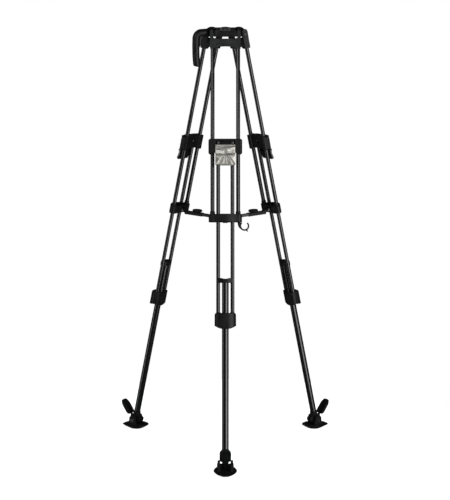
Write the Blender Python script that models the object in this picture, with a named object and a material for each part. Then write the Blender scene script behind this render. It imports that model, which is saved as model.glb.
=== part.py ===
"""Two-stage camera tripod legs: 100 mm bowl, twin-tube stages, mid-level spreader, carry handle.

Metres, +Z up. The floor is z = 0 and the origin is the centre of the footprint's box.
Each leg is drawn in its own frame: X points outward from the leg's face, Y runs across
the leg and Z runs up along it, with the zero at the leg's hinge in the crown.
"""
import math

import bmesh
import bpy

# Stance
AXIS_Y = 0.1041                 # tripod's vertical axis, measured from the footprint's centre
HINGE_HEIGHT = 1.470
HINGE_RADIUS = 0.050
LEG_SPREAD = 12.8               # degrees from vertical
AZIMUTHS = {"front": -90.0, "left": 150.0, "right": 30.0}
HANDLE_AZIMUTH = 210.0

# Running and assembly gaps
GAP = 0.0003
SLIDE_GAP = 0.0004

# Crown and bowl
BOWL_RADIUS = 0.050
RIM_HEIGHT = 1.4945
CROWN_BOTTOM = 1.4635
FLANGE_RADIUS = 0.0572
LUG_HALF = 0.0372
LUG_TOP = 1.497
LUG_BOTTOM = 1.4622
BOSS_HALF = 0.0411
CROWN_SEGMENTS = 30

# Yoke at the head of each leg
YOKE_HALF = 0.0530
CHEEK_INNER = 0.0415
YOKE_DEPTH = 0.0105
BRIDGE_TOP = -0.0165
WEB_TOP = -0.0095               # of the stiffening web behind the bridge, notched in the middle
WEB_SPAN = (0.0130, 0.0345)
YOKE_BOTTOM = -0.0495
TRUNNION_RADIUS = 0.0040

# Tubes: offset across the leg, offset outward, radius
OUTER_Y = 0.0440
OUTER_RADIUS = 0.0070
MID_Y = 0.0244
MID_X = 0.0110
MID_RADIUS = 0.0067
LOW_X = 0.0135
LOW_RADIUS = 0.0115
TUBE_WALL = 0.0012
SOCKET_TOP = -0.0120
OUTER_END = -0.6470

# Upper clamp, which rides on the outer tubes and carries the middle ones
CLAMP_TOP = -0.3654
CLAMP_BOTTOM = -0.4166
CLAMP_HALF = 0.0580
CLAMP_FRONT = 0.0196
MID_TOP = -0.3750

# Silver clamp lever
LEVER_HINGE = (0.0246, -0.3898)
LEVER_HALF = 0.0345
LEVER_LENGTH = 0.0692
LEVER_BACK = -0.0045
LEVER_FRONT = 0.0104
POCKET_FLOOR = 0.0062

# Bracket at the foot of the outer tubes
BRACKET_TOP = -0.6243
BRACKET_BOTTOM = -0.6512
BRACKET_BACK = -0.0125
BRACKET_END = 0.0114
SOCKET_RIM = -0.6138
SOCKET_RIM_RADIUS = 0.0087

# Cable hook under the front bracket
HOOK_CENTRE = (0.0655, -0.6640)
HOOK_RADIUS = 0.0140
HOOK_WIRE = 0.0027

# Guide at the head of the single tube
GUIDE_TOP = -0.8433
GUIDE_BOTTOM = -0.8595
GUIDE_SOCKET_DEPTH = 0.0125

# Lower collar and its wrap-round lever
COLLAR_TOP = -0.9600
COLLAR_BOTTOM = -1.0050
COLLAR_HALF = 0.0332
MID_END = -0.9950
COLLAR_LEVER_HINGE = (0.0352, -0.9655)
COLLAR_LEVER_HALF = 0.0368
COLLAR_LEVER_TOP = 0.0020       # above its hinge; low enough to swing clear of the collar
COLLAR_LEVER_LENGTH = 0.0516

# Ankle, shoe and pedal
LOW_END = -1.4520
RING_TOP = -1.4440
RING_BOTTOM = -1.4600
RING_RADIUS = 0.0138
ANKLE_Z = -1.4758
TONGUE_HALF = 0.0075
FORK_HALF = 0.0039
SHOE_LENGTH = 0.1030
SHOE_WIDTH = 0.0796
PEDAL_HINGE = (0.0305, -1.4673)
PEDAL_LEAN = 47.0               # degrees from the leg's own direction
PEDAL_LENGTH = 0.0700
PEDAL_WIDTH = 0.0390
PEDAL_THICKNESS = 0.0092

# Mid-level spreader
ARM_PIVOT = (-0.0195, -0.6385)
ARM_DROP = 3.814                # degrees below level, towards the hub
ARM_LENGTH = 0.1513
ARM_LINE = -0.0080              # the sliding bar's line, below the leg pivot
SLEEVE_END = 0.0800
BAR_LENGTH = 0.0815
KNOB_REACH = 0.0565
KNOB_RADIUS = 0.0180
KNOB_HEIGHT = 0.0098
SLEEVE_WIDTH = 0.0180
SLEEVE_HEIGHT = 0.0130
BAR_WIDTH = 0.0140
BAR_DEPTH = 0.0100
EYE_RADIUS = 0.0045
HUB_HEIGHT = 0.8250
HUB_RADIUS = 0.0300
HUB_HALF_HEIGHT = 0.0085
HUB_SLOT = 0.0132               # wider than the eyes, to let the open pivots move

# Carry handle: its neck is narrow where it passes between two yokes
HANDLE_START = 0.0600
HANDLE_NECK = 0.0060
GRIP_RADIUS = 0.0125
GRIP_REACH = 0.1170
BAR_HEIGHT = 1.4765
GRIP_BOTTOM = 1.3605
BEND_RADIUS = 0.0210
GUSSET_DROP = 0.0440
GUSSET_HALF = 0.0045
END_SLANT = 0.28


# ---------------------------------------------------------------- scene and materials

def clear_scene():
    for thing in list(bpy.data.objects):
        bpy.data.objects.remove(thing, do_unlink=True)


def make_material(name, color, roughness, metallic):
    material = bpy.data.materials.new(name)
    material.use_nodes = True
    shader = material.node_tree.nodes["Principled BSDF"]
    shader.inputs["Base Color"].default_value = (*color, 1.0)
    shader.inputs["Roughness"].default_value = roughness
    shader.inputs["Metallic"].default_value = metallic
    return material


def make_frame(name, location, rotation=(0.0, 0.0, 0.0), parent=None):
    """An empty that carries a group of pieces; rotation in degrees."""
    frame = bpy.data.objects.new(name, None)
    frame.empty_display_size = 0.02
    frame.location = location
    frame.rotation_euler = [math.radians(angle) for angle in rotation]
    frame.parent = parent
    bpy.context.scene.collection.objects.link(frame)
    return frame


def add_piece(name, mesh, material, parent):
    piece = bpy.data.objects.new(name, mesh)
    piece.parent = parent
    bpy.context.scene.collection.objects.link(piece)
    if not mesh.materials:
        mesh.materials.append(material)
    return piece


# ---------------------------------------------------------------- shape helpers

def arc(centre, radius, start, end, steps):
    """Points along an arc from start to end, in degrees."""
    points = []
    for i in range(steps + 1):
        angle = math.radians(start + (end - start) * i / steps)
        points.append((centre[0] + radius * math.cos(angle), centre[1] + radius * math.sin(angle)))
    return points


def circle(centre, radius, segments):
    return arc(centre, radius, 0.0, 360.0, segments)[:-1]


def rounded_rectangle(low, high, radius, steps=3):
    corners = (
        ((high[0] - radius, high[1] - radius), 0.0),
        ((low[0] + radius, high[1] - radius), 90.0),
        ((low[0] + radius, low[1] + radius), 180.0),
        ((high[0] - radius, low[1] + radius), 270.0),
    )
    points = []
    for centre, start in corners:
        points += arc(centre, radius, start, start + 90.0, steps)
    return points


def mirrored(half):
    """Closes an outline given as its right half, from the bottom middle to the top middle."""
    left = [(-y, z) for y, z in reversed(half) if abs(y) > 1e-9]
    return list(half) + left


def to_mesh(bm, name="shape"):
    bmesh.ops.recalc_face_normals(bm, faces=bm.faces)
    mesh = bpy.data.meshes.new(name)
    bm.to_mesh(mesh)
    bm.free()
    return mesh


def prism(outline, axis, low, high):
    """Extrudes a closed outline along X, Y or Z; the outline's pairs are the other two axes."""
    def at(pair, level):
        if axis == "X":
            return (level, pair[0], pair[1])
        if axis == "Y":
            return (pair[0], level, pair[1])
        return (pair[0], pair[1], level)

    bm = bmesh.new()
    bottom = [bm.verts.new(at(pair, low)) for pair in outline]
    top = [bm.verts.new(at(pair, high)) for pair in outline]
    bm.faces.new(bottom)
    bm.faces.new(list(reversed(top)))
    count = len(outline)
    for i in range(count):
        j = (i + 1) % count
        bm.faces.new((bottom[i], top[i], top[j], bottom[j]))
    return to_mesh(bm)


def ring_of_revolution(profile, segments):
    """Turns a closed profile of (radius, height) pairs about Z."""
    bm = bmesh.new()
    rings = []
    for i in range(segments):
        angle = 2.0 * math.pi * i / segments
        rings.append([bm.verts.new((r * math.cos(angle), r * math.sin(angle), z)) for r, z in profile])
    for i in range(segments):
        here, after = rings[i], rings[(i + 1) % segments]
        for j in range(len(profile)):
            k = (j + 1) % len(profile)
            bm.faces.new((here[j], after[j], after[k], here[k]))
    return to_mesh(bm)


def stack(sections):
    """Skins a pile of closed sections, each a list of (x, y, z), with a cap at each end."""
    bm = bmesh.new()
    rings = [[bm.verts.new(point) for point in section] for section in sections]
    for lower, upper in zip(rings, rings[1:]):
        count = len(lower)
        for i in range(count):
            j = (i + 1) % count
            bm.faces.new((lower[i], lower[j], upper[j], upper[i]))
    bm.faces.new(list(reversed(rings[0])))
    bm.faces.new(rings[-1])
    return to_mesh(bm)


def sphere(radius, height, segments, rings):
    bm = bmesh.new()
    bmesh.ops.create_uvsphere(bm, u_segments=segments, v_segments=rings, radius=radius)
    bmesh.ops.translate(bm, verts=bm.verts, vec=(0.0, 0.0, height))
    return to_mesh(bm)


def turned(mesh, degrees):
    """A copy of the mesh turned about Z."""
    copy = mesh.copy()
    angle = math.radians(degrees)
    for vertex in copy.vertices:
        x, y, z = vertex.co
        vertex.co = (
            x * math.cos(angle) - y * math.sin(angle),
            x * math.sin(angle) + y * math.cos(angle),
            z,
        )
    return copy


def combined(base, operations):
    """Applies Booleans to a mesh: operations is a list of (UNION | DIFFERENCE | INTERSECT, mesh)."""
    collection = bpy.context.scene.collection
    blank = bpy.data.objects.new("blank", base)
    collection.objects.link(blank)
    tools = []
    for operation, mesh in operations:
        tool = bpy.data.objects.new("tool", mesh)
        collection.objects.link(tool)
        tools.append(tool)
        modifier = blank.modifiers.new("shape", "BOOLEAN")
        modifier.operation = operation
        modifier.solver = "EXACT"
        modifier.object = tool
    bpy.context.view_layer.update()
    evaluated = blank.evaluated_get(bpy.context.evaluated_depsgraph_get())
    result = bpy.data.meshes.new_from_object(evaluated)
    for thing in [blank] + tools:
        bpy.data.objects.remove(thing, do_unlink=True)
    return result


def finished(mesh, angle=35.0):
    """Smooth shading, with edges sharper than the angle kept crisp."""
    mesh.materials.clear()
    mesh.shade_smooth()
    mesh.set_sharp_from_angle(angle=math.radians(angle))
    return mesh


def tube(radius, x, y, low, high, segments):
    """A drawn tube with open ends, along Z."""
    outside = prism(circle((x, y), radius, segments), "Z", low, high)
    bore = prism(circle((x, y), radius - TUBE_WALL, segments), "Z", low - 0.01, high + 0.01)
    return finished(combined(outside, [("DIFFERENCE", bore)]))


# ---------------------------------------------------------------- crown

def crown_mesh():
    """Bowl ring with a hinge lug for each leg and a socket for the handle."""
    ring = ring_of_revolution(
        [
            (0.0300, CROWN_BOTTOM),
            (0.0425, CROWN_BOTTOM),
            (0.0490, 1.4800),
            (0.0545, 1.4885),
            (FLANGE_RADIUS, 1.4895),
            (FLANGE_RADIUS, 1.4930),
            (0.0558, RIM_HEIGHT),
            (0.0300, RIM_HEIGHT),
        ],
        CROWN_SEGMENTS,
    )
    half = [(0.0, LUG_BOTTOM), (0.0345, LUG_BOTTOM), (LUG_HALF, LUG_BOTTOM + 0.0030)]
    half += [(LUG_HALF, LUG_TOP - 0.0135), (0.0300, LUG_TOP - 0.0075), (0.0200, LUG_TOP - 0.0035)]
    half += [(0.0100, LUG_TOP - 0.0010), (0.0, LUG_TOP)]
    lug = prism(mirrored(half), "X", 0.0360, 0.0595)
    boss = prism(circle((HINGE_RADIUS, HINGE_HEIGHT), 0.0068, 14), "Y", -BOSS_HALF, BOSS_HALF)
    hole = circle((HINGE_RADIUS, HINGE_HEIGHT), TRUNNION_RADIUS + GAP, 12)
    bores = [prism(hole, "Y", 0.0325, 0.0450), prism(hole, "Y", -0.0450, -0.0325)]
    additions, cuts = [], []
    for azimuth in AZIMUTHS.values():
        additions += [("UNION", turned(lug, azimuth)), ("UNION", turned(boss, azimuth))]
        cuts += [("DIFFERENCE", turned(bore, azimuth)) for bore in bores]
    socket_outline = rounded_rectangle((-HANDLE_NECK, 1.4655), (HANDLE_NECK, 1.4880), 0.002, 2)
    socket = prism(socket_outline, "X", 0.0440, HANDLE_START)
    additions.append(("UNION", turned(socket, HANDLE_AZIMUTH)))
    seat = sphere(BOWL_RADIUS, RIM_HEIGHT, CROWN_SEGMENTS, 16)
    mouth = prism(circle((0.0, 0.0), BOWL_RADIUS, CROWN_SEGMENTS), "Z", RIM_HEIGHT - 0.001, 1.510)
    cuts += [("DIFFERENCE", seat), ("DIFFERENCE", mouth)]
    return finished(combined(ring, additions + cuts))


def hinge_plate_mesh():
    """Plate on the front lug that takes the two hinge-friction screws."""
    outline = rounded_rectangle((-0.0172, 1.4832), (0.0172, 1.4924), 0.0022, 2)
    plate = prism(outline, "X", 0.0595 + GAP, 0.0625)
    sockets = [
        ("DIFFERENCE", prism(circle((y, 1.4880), 0.0023, 6), "X", 0.0610, 0.0700))
        for y in (-0.0068, 0.0068)
    ]
    return finished(combined(plate, sockets))


def handle_mesh():
    """Open grip: a bar out from the crown, a gusset under its bend, and a hand-wide drop."""
    corner = GRIP_REACH - BEND_RADIUS
    path = [(HANDLE_START + GAP, BAR_HEIGHT + 0.0018), (0.0680, BAR_HEIGHT + 0.0018)]
    path.append((0.0800, BAR_HEIGHT + 0.0010))
    necks = [HANDLE_NECK, HANDLE_NECK, GRIP_RADIUS]
    path += arc((corner, BAR_HEIGHT - BEND_RADIUS), BEND_RADIUS, 90.0, 0.0, 6)
    path += [(GRIP_REACH + 0.0008, 1.430), (GRIP_REACH, 1.395), (GRIP_REACH - 0.0022, GRIP_BOTTOM + 0.004)]
    path += [(GRIP_REACH - 0.0024, GRIP_BOTTOM)]
    sections = []
    last = len(path) - 1
    for i, (x, z) in enumerate(path):
        before, after = path[max(i - 1, 0)], path[min(i + 1, last)]
        run, rise = after[0] - before[0], after[1] - before[1]
        length = math.hypot(run, rise)
        side = (-rise / length, run / length)
        depth = GRIP_RADIUS - (0.003 if i == last else 0.0)
        width = necks[i] if i < len(necks) else depth
        slant = END_SLANT if i >= last - 1 else 0.0
        section = []
        for u, v in circle((0.0, 0.0), 1.0, 14):
            reach = side[0] * u * depth
            section.append((x + reach, v * width, z + side[1] * u * depth + slant * reach))
        sections.append(section)
    inner = GRIP_REACH - GRIP_RADIUS + 0.002
    under = BAR_HEIGHT - GRIP_RADIUS + 0.002
    gusset = [(inner, under), (inner - 0.0160, under), (inner - 0.0110, under - 0.0100)]
    gusset += [(inner - 0.0082, under - 0.0220), (inner - 0.0050, under - 0.0340)]
    gusset.append((inner, under - GUSSET_DROP))
    web = prism(gusset, "Y", -GUSSET_HALF, GUSSET_HALF)
    return finished(combined(stack(sections), [("UNION", web)]))


# ---------------------------------------------------------------- upper leg

def yoke_mesh():
    """Forked head casting: two cheeks round the crown's lug, a bridge, and a socket for each tube."""
    half = [
        (0.0, -0.0400),
        (0.0180, -0.0408),
        (0.0280, -0.0440),
        (0.0335, -0.0485),
        (0.0500, YOKE_BOTTOM),
        (YOKE_HALF, YOKE_BOTTOM + 0.0025),
        (YOKE_HALF, 0.0300),
        (CHEEK_INNER, 0.0300),
        (CHEEK_INNER, BRIDGE_TOP + 0.0024),
        (CHEEK_INNER - 0.0020, BRIDGE_TOP),
        (0.0, BRIDGE_TOP),
    ]
    front = prism(mirrored(half), "X", -0.020, 0.020)
    side = [(-YOKE_DEPTH, -0.060), (YOKE_DEPTH, -0.060)]
    side += arc((0.0010, 0.0085), YOKE_DEPTH, 0.0, 180.0, 8)
    operations = [("INTERSECT", prism(side, "Y", -0.070, 0.070))]
    web = [(-YOKE_DEPTH, BRIDGE_TOP - 0.006), (-0.0040, BRIDGE_TOP - 0.006)]
    web += [(-0.0040, WEB_TOP - 0.0010), (-0.0050, WEB_TOP), (-YOKE_DEPTH, WEB_TOP)]
    for sign in (-1.0, 1.0):
        socket = prism(circle((0.0, sign * OUTER_Y), OUTER_RADIUS + GAP, 16), "Z", -0.060, SOCKET_TOP)
        operations.append(("DIFFERENCE", socket))
        operations.append(("UNION", prism(web, "Y", *sorted((sign * WEB_SPAN[0], sign * WEB_SPAN[1])))))
        span = sorted((sign * 0.0345, sign * (CHEEK_INNER + 0.0015)))
        trunnion = prism(circle((0.0, 0.0), TRUNNION_RADIUS, 12), "Y", *span)
        operations.append(("UNION", trunnion))
    return finished(combined(front, operations))


def bracket_mesh():
    """Foot casting of the outer tubes, with a window that the lower stages slide through."""
    half = [(BRACKET_BACK, 0.0), (BRACKET_BACK, 0.0400)]
    half += arc((0.0, 0.0458), BRACKET_END, 165.0, 15.0, 8)
    half += [(0.0150, 0.0400), (0.0222, 0.0330), (0.0270, 0.0225), (0.0305, 0.0110)]
    outline = half + [(x, -y) for x, y in reversed(half) if y > 1e-9]
    body = prism(outline, "Z", BRACKET_BOTTOM, BRACKET_TOP)
    operations = []
    for sign in (-1.0, 1.0):
        rim = prism(circle((0.0, sign * OUTER_Y), SOCKET_RIM_RADIUS, 16), "Z", -0.640, SOCKET_RIM)
        operations.append(("UNION", rim))
    window = [(-0.0040, 0.0300), (-0.0015, 0.0335), (0.0180, 0.0335), (0.0205, 0.0285), (0.0275, 0.0145)]
    window_outline = window + [(x, -y) for x, y in reversed(window)]
    operations.append(("DIFFERENCE", prism(window_outline, "Z", -0.70, -0.60)))
    ear = [(BRACKET_BACK + 0.0015, -0.6490), (BRACKET_BACK + 0.0015, -0.6290)]
    ear += arc(ARM_PIVOT, 0.0055, 100.0, 260.0, 6)
    for sign in (-1.0, 1.0):
        socket = prism(circle((0.0, sign * OUTER_Y), OUTER_RADIUS + GAP, 16), "Z", OUTER_END - GAP, -0.60)
        operations.append(("DIFFERENCE", socket))
        span = sorted((sign * 0.0094, sign * 0.0142))
        operations.append(("UNION", prism(ear, "Y", *span)))
        pin_span = sorted((sign * 0.0062, sign * 0.0100))
        operations.append(("UNION", prism(circle(ARM_PIVOT, 0.0026, 10), "Y", *pin_span)))
    return finished(combined(body, operations))


def hook_mesh():
    """Open cable hook hung from the bracket's underside: shank, ring and tail spur."""
    def along(path, widths):
        sections = []
        last = len(path) - 1
        for i, (y, z) in enumerate(path):
            before, after = path[max(i - 1, 0)], path[min(i + 1, last)]
            run, rise = after[0] - before[0], after[1] - before[1]
            length = math.hypot(run, rise)
            side = (-rise / length, run / length)
            section = []
            for u, v in circle((0.0, 0.0), 1.0, 8):
                section.append((HOOK_WIRE * v, y + side[0] * u * widths[i], z + side[1] * u * widths[i]))
            sections.append(section)
        return stack(sections)

    ring_path = arc(HOOK_CENTRE, HOOK_RADIUS, 62.0, -232.0, 13)
    ring = along(ring_path, [0.0018] + [HOOK_WIRE] * (len(ring_path) - 2) + [0.0018])
    shank_path = [(0.0470, BRACKET_BOTTOM - GAP), (0.0475, -0.6600), (0.0500, -0.6665), (0.0545, -0.6725)]
    shank = along(shank_path, [0.0052, 0.0050, 0.0044, 0.0032])
    spur_path = [(0.0700, -0.6762), (0.0740, -0.6800), (0.0778, -0.6828)]
    spur = along(spur_path, [HOOK_WIRE, HOOK_WIRE, 0.0015])
    return finished(combined(ring, [("UNION", shank), ("UNION", spur)]))


# ---------------------------------------------------------------- middle stage

def clamp_mesh():
    """Sliding carriage: a sleeve round each outer tube and a bridge that holds the middle tubes."""
    silhouette = mirrored([
        (0.0, CLAMP_BOTTOM + 0.0050),
        (0.0360, CLAMP_BOTTOM + 0.0050),
        (0.0385, CLAMP_BOTTOM),
        (CLAMP_HALF - 0.0040, CLAMP_BOTTOM),
        (CLAMP_HALF, CLAMP_BOTTOM + 0.0040),
        (CLAMP_HALF, CLAMP_TOP - 0.0040),
        (CLAMP_HALF - 0.0040, CLAMP_TOP),
        (0.0, CLAMP_TOP),
    ])
    blank = prism(silhouette, "X", -0.020, 0.030)
    half = [(-0.0040, 0.0), (-0.0040, 0.0370), (-0.0090, 0.0390)]
    half += arc((-0.0045, 0.0515), 0.0065, 180.0, 90.0, 2)
    half += arc((0.0100, 0.0515), 0.0065, 90.0, 0.0, 2)
    half += [(0.0165, 0.0375), (CLAMP_FRONT, 0.0355)]
    plan = half + [(x, -y) for x, y in reversed(half) if y > 1e-9]
    operations = [("INTERSECT", prism(plan, "Z", -0.45, -0.35))]
    for sign in (-1.0, 1.0):
        sleeve = prism(circle((0.0, sign * OUTER_Y), OUTER_RADIUS + SLIDE_GAP, 16), "Z", -0.43, -0.36)
        socket = prism(circle((MID_X, sign * MID_Y), MID_RADIUS + GAP, 16), "Z", -0.43, MID_TOP + GAP)
        operations += [("DIFFERENCE", sleeve), ("DIFFERENCE", socket)]
    return finished(combined(blank, operations))


def lever_mesh():
    """Cast clamp lever: a rounded barrel at its hinge, a waist, and a flared thumb paddle."""
    silhouette = mirrored([
        (0.0, -LEVER_LENGTH),
        (0.0300, -LEVER_LENGTH),
        (LEVER_HALF, -LEVER_LENGTH + 0.0050),
        (LEVER_HALF, -0.0370),
        (LEVER_HALF - 0.0012, -0.0350),
        (LEVER_HALF, -0.0320),
        (LEVER_HALF - 0.0015, 0.0060),
        (0.0, 0.0060),
    ])
    blank = prism(silhouette, "X", -0.010, 0.020)
    side = [(LEVER_BACK, -0.0010), (LEVER_BACK, -0.0400), (-0.0012, -0.0640), (0.0008, -0.0680)]
    side += [(0.0040, -LEVER_LENGTH), (0.0078, -0.0680), (0.0100, -0.0640), (LEVER_FRONT, -0.0400)]
    side += [(LEVER_FRONT - 0.0010, -0.0340), (0.0068, -0.0270), (0.0062, -0.0060)]
    side += arc((0.0, 0.0), 0.0043, 20.0, 180.0, 6)
    pocket = [(0.0400, -0.0372), (0.0170, -0.0372), (0.0292, -0.0620), (0.0320, -0.0720), (0.0400, -0.0720)]
    operations = [("INTERSECT", prism(side, "Y", -0.050, 0.050))]
    operations.append(("DIFFERENCE", prism(pocket, "X", POCKET_FLOOR, 0.0300)))
    operations.append(("DIFFERENCE", prism([(-y, z) for y, z in pocket], "X", POCKET_FLOOR, 0.0300)))
    return finished(combined(blank, operations))


def collar_mesh():
    """Foot casting of the middle tubes, which clamps the single tube that runs through it."""
    silhouette = mirrored([
        (0.0, COLLAR_BOTTOM - 0.0100),
        (0.0130, COLLAR_BOTTOM - 0.0092),
        (COLLAR_HALF, COLLAR_BOTTOM),
        (COLLAR_HALF, COLLAR_TOP - 0.0030),
        (COLLAR_HALF - 0.0025, COLLAR_TOP),
        (0.0175, COLLAR_TOP),
        (0.0145, COLLAR_TOP - 0.0025),
        (0.0, COLLAR_TOP - 0.0025),
    ])
    blank = prism(silhouette, "X", -0.010, 0.040)
    plan = rounded_rectangle((-0.0015, -COLLAR_HALF), (0.0302, COLLAR_HALF), 0.0090, 3)
    operations = [("INTERSECT", prism(plan, "Z", -1.05, -0.95))]
    for sign in (-1.0, 1.0):
        socket = prism(circle((MID_X, sign * MID_Y), MID_RADIUS + GAP, 16), "Z", MID_END - GAP, -0.95)
        operations.append(("DIFFERENCE", socket))
    bore = prism(circle((LOW_X, 0.0), LOW_RADIUS + SLIDE_GAP, 20), "Z", -1.05, -0.95)
    operations.append(("DIFFERENCE", bore))
    return finished(combined(blank, operations))


def collar_lever_mesh():
    """Wide lever that wraps the collar's front and sides, hinged across its top edge."""
    origin_x = COLLAR_LEVER_HINGE[0]
    silhouette = mirrored([
        (0.0, -COLLAR_LEVER_LENGTH),
        (0.0160, 0.0015 - COLLAR_LEVER_LENGTH),
        (COLLAR_LEVER_HALF, 0.0110 - COLLAR_LEVER_LENGTH),
        (COLLAR_LEVER_HALF, COLLAR_LEVER_TOP - 0.0030),
        (COLLAR_LEVER_HALF - 0.0030, COLLAR_LEVER_TOP),
        (0.0, COLLAR_LEVER_TOP),
    ])
    blank = prism(silhouette, "X", -0.040, 0.020)
    outside = rounded_rectangle(
        (0.0050 - origin_x, -COLLAR_LEVER_HALF), (0.0385 - origin_x, COLLAR_LEVER_HALF), 0.0100, 4
    )
    inside = rounded_rectangle((-0.0600, -0.0336), (0.0308 - origin_x, 0.0336), 0.0085, 3)
    operations = [
        ("INTERSECT", prism(outside, "Z", -0.10, 0.05)),
        ("DIFFERENCE", prism(inside, "Z", -0.11, 0.06)),
    ]
    slope = [(-0.060, -0.060), (-0.0260, -0.060), (-0.0180, 0.0100), (-0.060, 0.0100)]
    back_step = prism(slope, "Y", -0.05, 0.05)
    operations.append(("DIFFERENCE", back_step))
    return finished(combined(blank, operations))


# ---------------------------------------------------------------- lower stage

def guide_mesh():
    """Sliding guide on the single tube's head, saddled on the middle tubes."""
    half = [(0.0010, 0.0), (0.0010, 0.0165), (0.0060, 0.0232), (0.0120, 0.0225), (0.0180, 0.0245)]
    half += [(0.0212, 0.0240), (0.0222, 0.0190), (0.0267, 0.0085)]
    plan = half + [(x, -y) for x, y in reversed(half) if y > 1e-9]
    blank = prism(plan, "Z", GUIDE_BOTTOM, GUIDE_TOP)
    operations = []
    for sign in (-1.0, 1.0):
        saddle = prism(circle((MID_X, sign * MID_Y), MID_RADIUS + SLIDE_GAP, 16), "Z", -0.87, -0.82)
        operations.append(("DIFFERENCE", saddle))
    socket = prism(circle((LOW_X, 0.0), LOW_RADIUS + GAP, 20), "Z", -0.87, GUIDE_BOTTOM + GUIDE_SOCKET_DEPTH)
    dish = prism([(-0.0130, GUIDE_TOP + 0.002)] + arc((0.0, GUIDE_TOP + 0.0270), 0.0300, 244.0, 296.0, 6)
                 + [(0.0130, GUIDE_TOP + 0.002)], "X", -0.01, 0.04)
    operations += [("DIFFERENCE", dish), ("DIFFERENCE", socket)]
    return finished(combined(blank, operations))


def ankle_mesh():
    """Ankle casting: a ring round the tube, a tongue for the shoe's pin and a lug for the pedal."""
    ring = prism(circle((LOW_X, 0.0), RING_RADIUS, 20), "Z", RING_BOTTOM, RING_TOP)
    heel = (LOW_X - 0.0172, -1.4690)
    side = arc((LOW_X, ANKLE_Z), 0.0108, 200.0, 335.0, 6)
    side += arc(PEDAL_HINGE, 0.0052, -60.0, 80.0, 4)
    side += [(LOW_X + 0.0125, -1.4560), (LOW_X - 0.0125, -1.4560)]
    side += arc(heel, 0.0080, 120.0, 230.0, 4)
    tongue = prism(side, "Y", -TONGUE_HALF, TONGUE_HALF)
    heel_boss = prism(circle(heel, 0.0105, 16), "Y", -0.0110, 0.0110)
    pin_bore = prism(circle((LOW_X, ANKLE_Z), 0.0043, 12), "Y", -0.02, 0.02)
    pedal_bore = prism(circle(PEDAL_HINGE, 0.0023, 10), "Y", -0.02, 0.02)
    tube_socket = prism(circle((LOW_X, 0.0), LOW_RADIUS + GAP, 20), "Z", LOW_END - GAP, -1.40)
    operations = [("UNION", tongue), ("UNION", heel_boss), ("DIFFERENCE", tube_socket)]
    x, z = PEDAL_HINGE
    fork = [(x - 0.0062, z - 0.0070), (x + 0.0200, z - 0.0070)]
    fork += [(x + 0.0200, z + 0.0200), (x - 0.0062, z + 0.0200)]
    operations.append(("DIFFERENCE", prism(fork, "Y", -FORK_HALF, FORK_HALF)))
    operations += [("DIFFERENCE", pin_bore), ("DIFFERENCE", pedal_bore)]
    return finished(combined(ring, operations))


def shoe_mesh():
    """Oval rubber shoe with a cheek each side of the ankle; its frame is level, at the ankle pin."""
    floor = -(HINGE_HEIGHT + ANKLE_Z * math.cos(math.radians(LEG_SPREAD))
              + LOW_X * math.sin(math.radians(LEG_SPREAD)))
    toe_end, side_edge = SHOE_LENGTH / 2.0, SHOE_WIDTH / 2.0
    half = [(toe_end, 0.0), (toe_end, 0.0130), (0.0480, 0.0200), (0.0300, 0.0315), (0.0120, 0.0383)]
    half += [(0.0, side_edge), (-0.0140, 0.0385), (-0.0320, 0.0310), (-0.0460, 0.0190)]
    half += [(-toe_end, 0.0090), (-toe_end, 0.0)]
    rim = half + [(x, -y) for x, y in reversed(half) if y > 1e-9]
    levels = (
        (0.44, 0.46, 0.0000, 0.0000),
        (0.66, 0.68, 0.0028, 0.0030),
        (0.97, 0.97, 0.0088, 0.0105),
        (1.00, 1.00, 0.0108, 0.0125),
        (1.00, 1.00, 0.0130, 0.0180),
        (0.95, 0.94, 0.0146, 0.0196),
        (0.62, 0.72, 0.0190, 0.0205),
    )
    sections = []
    for length, width, toe, heel in levels:
        section = []
        for x, y in rim:
            part = 0.5 + x / SHOE_LENGTH
            section.append((x * length, y * width, floor + heel + (toe - heel) * part))
        sections.append(section)
    base = stack(sections)
    cheek = [(-0.0170, floor + 0.0120), (0.0170, floor + 0.0120), (0.0125, 0.0060)]
    cheek += arc((0.0, 0.0), 0.0172, 45.0, 135.0, 4)
    cheek += [(-0.0125, 0.0060)]
    operations = []
    for sign in (-1.0, 1.0):
        span = sorted((sign * 0.0176, sign * 0.0264))
        operations.append(("UNION", prism(cheek, "Y", *span)))
        spacer_span = sorted((sign * (TONGUE_HALF + GAP), sign * 0.0180))
        operations.append(("UNION", prism(circle((0.0, 0.0), 0.0062, 12), "Y", *spacer_span)))
    operations.append(("UNION", prism(circle((0.0, 0.0), 0.0039, 12), "Y", -0.0200, 0.0200)))
    return finished(combined(base, operations))


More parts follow.
